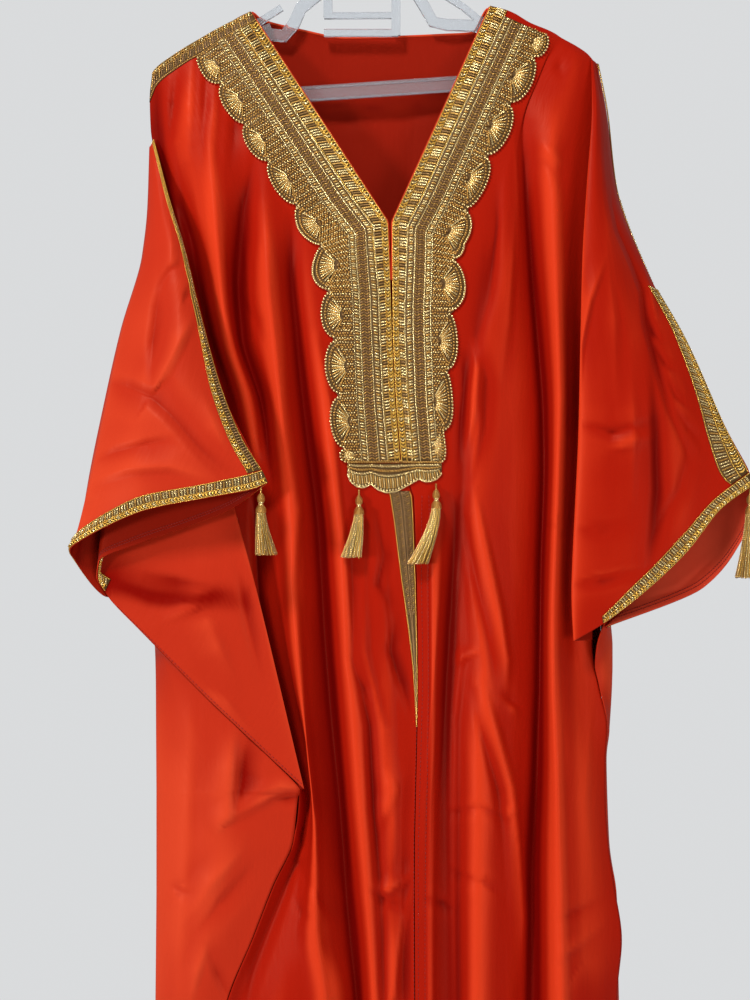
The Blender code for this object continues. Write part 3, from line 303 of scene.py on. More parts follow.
# The braids' woven ground, its dark colour partly painted shade for the gaps between the threads
GROUND_WITH_GAP_SHADE = gold_finish("braid_ground_with_gap_shade", (0.19, 0.10, 0.026), (0.11, 0.055, 0.014), 0.6, 0.35)
CLEAR = clear_finish()
floor_mesh.materials.append(plain_finish("pale_floor", (0.80, 0.81, 0.82), (0.77, 0.78, 0.80), 0.8, 0.6))
print("finishes", len(bpy.data.materials))

# %% [markdown]
# Everything is placed on an upright board: across and down in millimetres, and a depth away from the
# viewer. The board is what the picture shows, so a fold goes where it is seen, and place() turns the
# three numbers into a real point. smooth() draws an even curve through a table that never overshoots.
# The tables are written as plain words, so that a row of places reads like a line of a pattern's notes.

# %% Curves and places
MM = 0.001
HOOK_ACROSS, HOOK_DOWN = 360.0, -100.0
VIEW_ACROSS, VIEW_DOWN, VIEW_DISTANCE = 375.0, 500.0, 1400.0

CLOTH = 1.2
SEAM_GAP = 0.3
YOKE_GAP = 0.5
SHOULDER_HALF_GAP = (CLOTH + SEAM_GAP) / 2
HEM_DOWN = 1420.0
LEVELLED_BELOW = 1000.0


def marks(text):
    """Places written as words and parted by commas. The word hem is the height of the hem."""
    return [tuple(HEM_DOWN if word == "hem" else float(word) for word in spot.split())
            for spot in text.split(",")]


def table(text):
    """Rows of places, parted by semicolons."""
    return [marks(row) for row in text.split(";")]


def smooth(stations, values, at):
    """Values at the places asked for: a smooth curve that never swings past the stations' own."""
    x = np.asarray(stations, float)
    v = np.asarray(values, float)
    at = np.clip(np.asarray(at, float), x[0], x[-1])
    tail = (1,) * (v.ndim - 1)
    run = np.diff(x).reshape(-1, *tail)
    rise = np.diff(v, axis=0) / run
    before, after = rise[:-1], rise[1:]
    turns = before * after <= 0
    mean = np.where(turns, 0.0, 2 * before * after / np.where(turns, 1.0, before + after))
    slope = np.concatenate([rise[:1], mean, rise[-1:]])
    cell = np.clip(np.searchsorted(x, at, side="right") - 1, 0, len(x) - 2)
    t = ((at - x[cell]) / (x[cell + 1] - x[cell])).reshape(-1, *tail)
    width = run[cell]
    start = (1 + 2 * t) * (1 - t) ** 2 * v[cell] + t * (1 - t) ** 2 * width * slope[cell]
    end = t * t * (3 - 2 * t) * v[cell + 1] - t * t * (1 - t) * width * slope[cell + 1]
    return start + end


def on_path(path, at):
    """One number read from a path of (station, value) pairs."""
    stations, values = zip(*path)
    return float(smooth(stations, values, [at])[0])


def place(across, down, depth):
    """The real point, in millimetres, that shows at this place on the board."""
    nearness = 1 + np.asarray(depth, float) / VIEW_DISTANCE
    x = VIEW_ACROSS - HOOK_ACROSS + (across - VIEW_ACROSS) * nearness
    drop = VIEW_DOWN - HOOK_DOWN + (down - VIEW_DOWN) * nearness
    return np.stack([x, depth + 0 * x, -drop], axis=-1)


def placed(net):
    """A net of (across, down, depth) rows turned into real points, with the hem brought to one level."""
    across, down, depth = np.moveaxis(np.asarray(net, float), -1, 0)
    share = np.clip((down - LEVELLED_BELOW) / (HEM_DOWN - LEVELLED_BELOW), 0, 1)
    down = VIEW_DOWN + (down - VIEW_DOWN) / (1 + share * depth / VIEW_DISTANCE)
    return place(across, down, depth)


def refined(net, row_cells, column_cells):
    """The net with smooth rows and columns added, so many to each cell of the table."""
    net = np.asarray(net, float)
    for axis, cells in ((0, row_cells), (1, column_cells)):
        count = net.shape[axis]
        spots = np.linspace(0, count - 1, (count - 1) * cells + 1)
        turned = np.moveaxis(net, axis, 0)
        net = np.moveaxis(smooth(np.arange(count), turned, spots), 0, axis)
    return net


def normals_of(grid):
    """Unit normals of a grid whose rows run down: towards the viewer where columns run right."""
    down = np.gradient(grid, axis=0)
    along = np.gradient(grid, axis=1)
    normals = np.cross(down, along)
    return normals / np.linalg.norm(normals, axis=-1, keepdims=True)

print("a point of the neck", place(388, 222, -24))

# %% [markdown]
# The lines of the gown run from the shoulder to the hem, one for each ridge and valley of its folds.
# They are the CAD's own lines, so the fine cloth lies on the solids that stand for it.

# %% The body's lines
# Rows that every body panel shares, and the part of the way from the shoulder to the first of them
LEVELS = (160, 222, 280, 340, 400, 462, 497, 520, 580, 640, 685, 727, 760, 797, 840, 885, 940, 1000,
          1100, 1200, 1310, HEM_DOWN)
SHOULDER_ROWS = (0.0, 0.045, 0.11, 0.33, 0.66)
# How far a shoulder row has opened, from the seam's depth to the depth at the first level
SHOULDER_OPENING = ((0.0, 0.0), (0.045, 0.17), (0.11, 0.28), (0.33, 0.5), (0.66, 0.8), (1.0, 1.0))

Line = namedtuple("Line", "path reach")


def lines_of(text):
    """A line has a name, its path as down and across, and how far it stands out as down and depth."""
    return [Line(*table(entry.partition(":")[2])) for entry in text.split("\n\n")]


FRONT_DEPTH = marks("""160 22, 280 28, 400 34, 640 38, 900 42, hem 50""")
BACK_DEPTH = marks("""160 17, 280 22, 500 26, 900 30, hem 36""")

OPENING_RIGHT = marks("""12 251, 160 347.6, 222 388, 340 392, 400 395, 460 400, 490 412.5, 580 416,
    680 417.5, 760 416, 868 414, hem 418""")
OPENING_LEFT = marks("""6 490, 160 420.2, 222 392, 340 392.8, 400 395.8, 460 400.8, 490 413.3, 580 416.8,
    680 418.3, 760 416.8, 868 414.8, hem 418.8""")

RIGHT_LINES = lines_of("""
    side: 73 153, 103 150, 143 152, 160 157, 280 178, 400 197, 520 214, 640 240, 727 270, 797 299,
      840 294, 885 274, 940 252.5, 1000 228, 1200 188, hem 172;
      160 -20, 280 -4, 640 -3, 797 7, 900 2, 1000 -2, hem -24

    sleeve valley: 66 160, 160 175, 280 198, 400 226, 460 238, 520 250, 640 266, 760 296, 797 308,
      885 286, 1000 242, 1200 206, hem 192;
      160 -3, 280 -8, 520 -11, 797 -9, 1000 -8, hem -16

    shoulder ridge: 47 188, 160 211, 280 220, 340 228, 400 246, 520 263, 640 276, 797 311, 885 296,
      1000 262, hem 214;
      160 3, 280 12, 400 10, 520 -4, 797 -4, 1000 2, hem 2

    second valley: 40.4 199, 160 244, 280 238, 340 243, 400 261, 520 275, 640 285, 797 312.5, 885 305,
      1000 284, hem 240;
      160 -1, 280 -10, 400 -8, 520 3, 797 2, 1000 10, hem 16

    main ridge: 35.1 208, 160 261, 280 268, 400 280, 520 292, 640 297, 760 308, 840 315, 940 316,
      1000 327, hem 322;
      160 0, 222 4, 280 11, 520 14, 840 17, 1000 14, hem 4

    third valley: 31 215, 160 272, 222 288, 280 291, 400 303, 520 319, 640 325, 760 335, 885 345,
      1000 356, hem 362;
      160 0, 222 -2, 280 -7, 520 -10, 840 -9, hem -16

    inner ridge: 27 222.6, 160 283, 222 305, 280 309, 400 324, 520 338, 640 349, 760 357, 1000 374,
      hem 384;
      160 0, 280 0, 520 5, 840 6, hem 12

    yoke rim: 24.1 228, 160 300, 280 330, 400 349, 460 356, 520 366, 640 372, 1000 388, hem 396;
      160 0, 497 0, 580 2, 840 -1, hem -4
""")
LEFT_LINES = lines_of("""
    yoke rim: 14 515, 160 458, 280 432, 400 424, 460 424, 520 434, 640 434, 1000 432, hem 440;
      160 0, 497 0, 580 4, 840 3, hem 6

    yoke valley: 23 530, 160 492, 222 494, 280 481, 340 470, 400 461, 520 457, 640 455, 760 451, hem 462;
      160 0, 280 -2, 497 -3, 580 -7, 840 -9, hem -12

    lens ridge: 30 547, 160 507, 280 501, 400 480, 520 480, 640 487, 760 480, 1000 478, hem 492;
      160 0, 280 3, 520 5, 840 9, hem 12

    slope: 34 555, 160 515, 280 517, 400 514, 640 512, 1000 506, hem 520;
      160 -1, 280 -3, 640 -2, hem -2

    great valley: 38 561, 110 523, 160 524, 280 532, 400 542, 460 544, 580 540, 760 537, 885 532,
      1000 532, hem 546;
      160 -4, 280 -14, 520 -17, 840 -17, hem -20

    tube ridge: 47 577, 160 552, 280 556, 400 559, 520 556, 640 553, 760 557, 1000 560, hem 578;
      160 4, 280 10, 520 14, 840 14, hem 16

    tube slope: 54 587, 160 580, 280 579, 460 577, 640 574, 760 586, 1000 594, hem 612;
      160 -4, 280 -4, 520 -5, 727 0, hem -4

    side: 62 594, 100 597, 160 600, 280 599, 460 597, 640 592, 665 594, 685 598, 720 607, 778 604.5,
      831 607, 870 611, 899 616.5, 966 623, 1000 617, 1200 622, hem 628;
      160 -14, 280 -12, 640 -8, 840 -14, hem -26
""")

# Seams that two pieces share at the back, as (down, across, depth)
REAR_SEAM_RIGHT = ((73, 153, SHOULDER_HALF_GAP), (103, 150, SHOULDER_HALF_GAP), (143, 153, 2.5),
                   (160, 157, 6), (244, 160, 14), (318, 160, 17), (404, 160, 18), (600, 160, 18),
                   (900, 160, 18), (HEM_DOWN, 152, 14))
REAR_SEAM_LEFT = ((62, 594, SHOULDER_HALF_GAP), (90, 598, 9), (142, 601, 15), (264, 601, 18),
                  (628, 601, 18), (900, 606, 18), (HEM_DOWN, 632, 14))
REAR_SEAM_EASE = 0.45

# The back's lines between its side seams; the neckline's own depth is the third number of its first place
BACK_LINES = lines_of("""
    right shoulder: 58 170 0.75, 160 184, 640 186, hem 180;
      160 0, 500 -6, hem -10

    right blade: 42 196 0.75, 160 212, 640 222, hem 216;
      160 2, 500 9, hem 12

    right yoke: 27 222 0.75, 160 240, 640 258, hem 250;
      160 -2, 500 -8, hem -10

    right neck: 12.5 250 0.75, 160 268, 640 290, hem 284;
      160 2, 500 8, hem 14

    neck right turn: 20 262 4.2, 160 290, 640 316, hem 312;
      160 0, 500 0, hem 0

    neck right: 30 300 9, 160 316, 640 338, hem 336;
      160 0, 500 -7, hem -10

    centre right: 38 346 12, 160 350, 640 364, hem 366;
      160 2, 500 5, hem 6

    centre left: 37 392 12, 160 392, 640 394, hem 398;
      160 2, 500 9, hem 14

    neck left: 35 440 11, 160 430, 640 424, hem 430;
      160 0, 500 0, hem -4

    neck left turn: 33 472 6, 160 462, 640 452, hem 462;
      160 0, 500 -8, hem -12

    left neck: 8 490 0.75, 160 488, 640 482, hem 494;
      160 0, 500 4, hem 2

    left yoke: 24 526 0.75, 160 522, 640 514, hem 528;
      160 2, 500 9, hem 14

    left blade: 40 562 0.75, 160 556, 640 548, hem 566;
      160 0, 500 -7, hem -10

    left shoulder: 52 580 0.75, 160 580, 640 578, hem 602;
      160 0, 500 2, hem 2
""")


def rows_down(line, depths, sign):
    """One line's points from the shoulder to the hem: (across, down, depth) for each row."""
    start = line.path[0]
    seam_depth = start[2] if len(start) == 3 else -SHOULDER_HALF_GAP
    path = [spot[:2] for spot in line.path]
    first = LEVELS[0]
    level_depth = sign * (on_path(depths, first) + on_path(line.reach, first))
    points = []
    for share in SHOULDER_ROWS:
        down = start[0] + share * (first - start[0])
        opening = on_path(SHOULDER_OPENING, share)
        points.append((on_path(path, down), down, seam_depth + (level_depth - seam_depth) * opening))
    for down in LEVELS:
        depth = sign * (on_path(depths, down) + on_path(line.reach, down))
        points.append((on_path(path, down), down, depth))
    return np.array(points)


def seam_points(seam, downs, ease):
    """Points of a shared seam at these heights, moved across by ease."""
    stations = [spot[0] for spot in seam]
    read = smooth(stations, [spot[1:] for spot in seam], downs)
    return np.stack([read[:, 0] + ease, np.asarray(downs, float), read[:, 1]], axis=-1)


def opening_line(path, sign, width, start):
    """The line along the neck and the front opening, or beside it at the galon's width."""
    shifted = [(down, across - sign * on_path(width, down)) for down, across in path[1:]]
    return Line([start] + shifted, marks("160 0, hem 0"))


# The galon lies along the neck and the slit, and narrows to nothing below the yoke's foot
NO_WIDTH = marks("0 0, hem 0")
GALON_RIGHT = marks("""0 21, 222 20, 460 19, 490 24, 580 18, 640 13, 685 8, 727 2.5, hem 2.5""")
GALON_LEFT = marks("""0 19, 222 19, 460 19, 520 10, hem 8""")


def body_net(lines, depths, sign):
    return np.stack([rows_down(line, depths, sign) for line in lines], axis=1)


def front_right_net():
    inner = [opening_line(OPENING_RIGHT, 1, GALON_RIGHT, (21.5, 233)),
             opening_line(OPENING_RIGHT, 1, NO_WIDTH, OPENING_RIGHT[0])]
    return body_net(RIGHT_LINES + inner, FRONT_DEPTH, -1)


def front_left_net():
    inner = [opening_line(OPENING_LEFT, -1, NO_WIDTH, OPENING_LEFT[0]),
             opening_line(OPENING_LEFT, -1, GALON_LEFT, (10.5, 507))]
    return body_net(inner + LEFT_LINES, FRONT_DEPTH, -1)


def back_net():
    net = body_net(BACK_LINES, BACK_DEPTH, 1)
    sides = []
    for seam, ease in ((REAR_SEAM_RIGHT, REAR_SEAM_EASE), (REAR_SEAM_LEFT, -REAR_SEAM_EASE)):
        start, first = seam[0][0], LEVELS[0]
        downs = [start + share * (first - start) for share in SHOULDER_ROWS] + list(LEVELS)
        sides.append(seam_points(seam, downs, ease))
    return np.concatenate([sides[0][:, None], net, sides[1][:, None]], axis=1)

print("rows from shoulder to hem", len(SHOULDER_ROWS) + len(LEVELS))

# %% The sleeves' and gores' sections
# Places across, down and in depth: seam, band, crown, quarter, outline, tip, underarm and rear
SLEEVE_RIGHT_BACK = table("""
    154 140 -5, 153 142 -5.4, 152 144 -5, 151 146 -4, 150 147 -2.2, 149.8 148 -0.4, 150.2 148 1,
      151.5 147 2;
    169 200 -28, 166 200 -29, 161 201 -30, 155 202 -27, 149 204 -19, 148 205 -12, 149 206 -4, 153 206 4;
    184 250 -46, 180.6 250 -48, 171 251 -51, 158 252 -47, 144 254 -35, 142.5 256 -26, 145 257 -14,
      151 257 2;
    202 322 -61, 196 322 -64, 178 323 -69, 152 325 -65, 123 328 -48, 121 331 -37, 126 333 -22, 139 334 -1;
    222 390 -76, 210 390 -79, 181 394 -84, 142 398 -79, 107 402 -60, 104 406 -47, 110 408 -31, 130 408 -4;
    243 440 -87, 228 440 -89, 190 448 -93, 138 458 -89, 92 472 -68, 89 480 -54, 99 484 -40, 126 486 -8;
    262 470 -92, 247 474.5 -93, 200 484.5 -97, 140 496 -93, 77 533 -72, 79 545 -60, 100 572 -50,
      130 580 -12;
    268 483 -93, 252 489.5 -94, 204 498.5 -98, 146 510 -94, 70 550 -73, 76 562 -62, 107 597 -47,
      134 599 -13""")
RIGHT_REAR_DOWNS = (146, 206, 257, 334, 408, 486, 580, 599.4)

# Seam, three of the far side, turn, underarm, three of the flap, fold and return
SLEEVE_RIGHT_FRONT = table("""
    163 176 -16.6, 160 176.5 -15.6, 157.5 177 -14.4, 155 178 -13, 152.6 179 -11.2, 152 180 -9.4,
      153.2 180 -8, 155 180 -7.8, 157.4 179.5 -8.6, 160 178.5 -10.4, 158.6 178.5 -7.8;
    183 250 -43.5, 176 250 -41, 167 251 -39, 158 252 -37, 150 254 -33, 149 256 -28, 152 257 -25,
      160 257 -26, 169 256 -30, 177 254 -34, 176 254 -27;
    201 322 -59, 188 322 -54, 170 324 -51, 150 326 -49, 132 329 -44, 130 332 -39, 138 334 -36,
      158 334 -38, 176 332 -42, 191 330 -46, 190 330 -36;
    221 390 -74, 202 391 -66, 175 394 -62, 144 398 -60, 118 404 -55, 115 410 -49, 126 412 -46,
      154 412 -48, 182 408 -52, 206 404 -55, 203 404 -44;
    261 471 -89.5, 228 488 -74, 184 505 -70, 138 520 -69, 104 538 -66, 99 555 -59, 122 560 -55,
      164 556 -56, 208 548 -58, 256 590 -58, 230 590 -43;
    266 484 -90.5, 232 508 -75, 186 527 -71, 140 543 -70, 99 561 -66, 97 577 -59, 108.5 597 -51,
      155 645 -54, 203 694 -57, 304 789 -57, 283 789 -47""")

# Return, fold, three of the near side, band and seam
SLEEVE_LEFT_FRONT = table("""
    596 66 -3.4, 591.5 60 -5.2, 592.3 60.4 -5, 593.2 61 -4.2, 594.2 61.8 -3, 595.2 62.6 -1.8,
      596 63.4 -0.9;
    602 112 -17, 592.5 108 -27, 595.5 109 -27.5, 599 110 -24, 602.5 111 -16, 605 112 -8, 606 113 -0.8;
    604 183 -30, 587.5 183 -43, 594 183 -45, 601 183 -42, 608 184 -31, 612.5 184.5 -18, 615 185 -6;
    602 262 -38, 583 258 -53, 595 260 -57, 612 263 -55, 629 268 -45, 641 272 -33, 649 276 -22;
    601 345 -42, 581 338 -58, 600 340 -64, 627 344 -64, 654 344 -56, 674 337 -46, 687 344 -40;
    600 440 -44, 579 430 -61, 605 432 -69, 640 430 -71, 676 426 -66, 703 428 -58, 726 429 -52;
    592 600 -44, 572 590 -61, 600 590 -68, 634 575 -71, 677 540 -70, 713 500 -64, 749 472 -58;
    592 640 -45, 574 641 -61, 603 624 -64, 640 596 -70, 686 553 -70, 722 508 -65, 752 486 -59""")

# Seam, three of the far side, underarm and rear
SLEEVE_LEFT_BACK = table("""
    596 63.4 0.9, 596.6 64 1.6, 596.9 64.6 2.4, 596.9 65.2 3.2, 596.6 65.8 3.8, 596.2 66.4 4.2;
    606 113 0.9, 606 113 4, 605.2 113 7, 604.2 113 9.4, 602.8 113 11, 601.4 113 12;
    615 185 -4.3, 614 185 3, 612 184 9, 609.5 184 13, 606.5 183 15.4, 604 183 16.4;
    649 276 -20.2, 646 276 -8, 638 274 3, 627 270 10.5, 616 266 15, 608 264 17;
    687 344 -38, 681 346 -22, 667 348 -8, 648 348 4, 628 348 12, 613 348 16;
    726 429 -50, 719 436 -33, 700 444 -17, 672 450 -3, 640 454 9, 616 454 15;
    749 473 -56, 744 508 -41, 724 542 -31, 690 572 -27, 630 596 -30, 611 606 -8;
    752 488 -57, 748 524 -43, 735 552 -35, 703 588 -33, 606 627 -57, 608 629 -20""")
LEFT_REAR_DOWNS = (66.6, 113, 183, 264, 348, 454, 612, 628)

# The side gores: a row is a height, then front edge, slope, outline and turn, each across and in depth
SIDE_GORE_RIGHT = table("""
    600.6, 112 -49.4, 122 -34, 136 -13, 149 4;
    622, 132.5 -51.5, 138 -38, 146 -18, 154 4;
    646, 156 -52.4, 155.6 -42, 155.4 -22, 157.6 4;
    685, 194 -55, 172 -46, 156.4 -24, 157.6 4;
    727, 237 -55.4, 192 -50, 156.6 -26, 158 4;
    760, 272 -55.6, 210 -52, 156.8 -26, 158 4;
    790, 300 -55, 222 -54, 157 -26, 158 4;
    797, 298 -51, 223 -54, 157 -26, 158 4;
    840, 293 -48, 224 -54, 157 -26, 158 4;
    885, 273 -45, 216 -52, 157 -26, 158 4;
    940, 251.5 -43, 206 -50, 156.6 -26, 157.6 4;
    1000, 227 -42, 194 -46, 156 -26, 157 4;
    1100, 205 -40, 180 -42, 154.6 -24, 155.6 4;
    1200, 187 -36, 168 -38, 152 -22, 153.4 4;
    1310, 177.5 -31, 162 -33, 149 -20, 151 3;
    hem, 171 -26, 156 -27, 146 -16, 148.6 3""")
SIDE_GORE_LEFT = table("""
    629.4, 605 -55, 609 -44, 610 -22, 607 0;
    646, 597 -48, 605 -40, 612 -24, 609 0;
    665, 595 -36, 602 -34, 612 -22, 609 0;
    685, 599 -32, 604 -30, 611.5 -20, 609 0;
    727, 607 -26, 609 -21, 609 -12, 606 4;
    760, 605 -25.4, 606 -20, 606 -10, 604.6 4;
    840, 607 -24.6, 608 -19, 608.6 -10, 607 4;
    899, 616 -24, 616.4 -18, 616 -10, 611 4;
    1000, 617 -23.4, 618 -18, 618.4 -10, 614 4;
    1200, 622 -22, 624 -17, 625 -8, 622 4;
    hem, 628 -21, 631 -15, 633.6 -6, 633.6 5""")


def sleeve_net(sections, rear_seam=None, rear_downs=(), ease=0.0):
    """The table as a net, closed along a shared seam where it has one."""
    if rear_seam is None:
        return np.array(sections)
    return np.concatenate([sections, seam_points(rear_seam, rear_downs, ease)[:, None]], axis=1)


def gore_net(sections, rear_seam, ease):
    downs = [row[0][0] for row in sections]
    net = [[(across, row[0][0], depth) for across, depth in row[1:]] for row in sections]
    return np.concatenate([net, seam_points(rear_seam, downs, ease)[:, None]], axis=1)

print("sleeve sections", len(SLEEVE_RIGHT_BACK), len(SLEEVE_LEFT_FRONT))

# %% [markdown]
# A crease is a soft ridge or trough along a few points of the board. Each point has its own height, so
# a crease can swell and die away as a real one does. Negative heights are troughs.

# %% Creases
Crease = namedtuple("Crease", "width points")
# Part of a crease's height that is left at its two ends, where it is given one height in all
LEFT_AT_ENDS = 0.15
# The side of a fold that the light meets is wide and the far side is steep, as on a crisp satin
TOWARDS_LIGHT = np.array((-0.85, -0.53))
GENTLE, STEEP = 2.0, 0.75
CREASE_DEPTH = 1.6
# One would leave flat facets, and more rounds them off where a crease dies away
SOFTENED = 1.25


def crease_heights(net, crease):
    """How far each point of the net is lifted towards the viewer by one crease."""
    spots = net[..., :2]
    lift = np.zeros(spots.shape[:2])
    nearest = np.full(spots.shape[:2], 1e9)
    for start, end in zip(crease.points, crease.points[1:]):
        a, b = np.array(start[:2], float), np.array(end[:2], float)
        run = b - a
        share = np.clip(((spots - a) @ run) / (run @ run), 0, 1)
        offset = spots - a - share[..., None] * run
        away = np.linalg.norm(offset, axis=-1)
        height = CREASE_DEPTH * (start[2] + share * (end[2] - start[2]))
        lit = (offset @ TOWARDS_LIGHT) * np.sign(start[2] + end[2]) > 0
        reach = (3 + 1.2 * crease.width) * np.where(lit, GENTLE, STEEP)
        value = height * np.clip(1 - away / reach, 0, 1) ** SOFTENED
        closer = away < nearest
        lift[closer], nearest[closer] = value[closer], away[closer]
    return lift


def ripple(net, height):
    """Small unevenness that no crease accounts for: a few slow waves that don't line up."""
    across, down = net[..., 0], net[..., 1]
    wave = np.sin(across / 23.0 + down / 61.0) * np.sin(down / 47.0 - across / 90.0)
    wave += 0.6 * np.sin(across / 11.0 + np.sin(down / 35.0) * 1.6) * np.sin(down / 29.0 + 1.3)
    return height * wave


def creases(text):
    """Each row is a width and the points with their heights, or a width and one height and the points."""
    made = []
    for first, *points in table(text):
        if len(first) == 2:
            ends = (0, len(points) - 1)
            points = [point + (first[1] * (LEFT_AT_ENDS if k in ends else 1.0),)
                      for k, point in enumerate(points)]
        made.append(Crease(first[0], points))
    return made


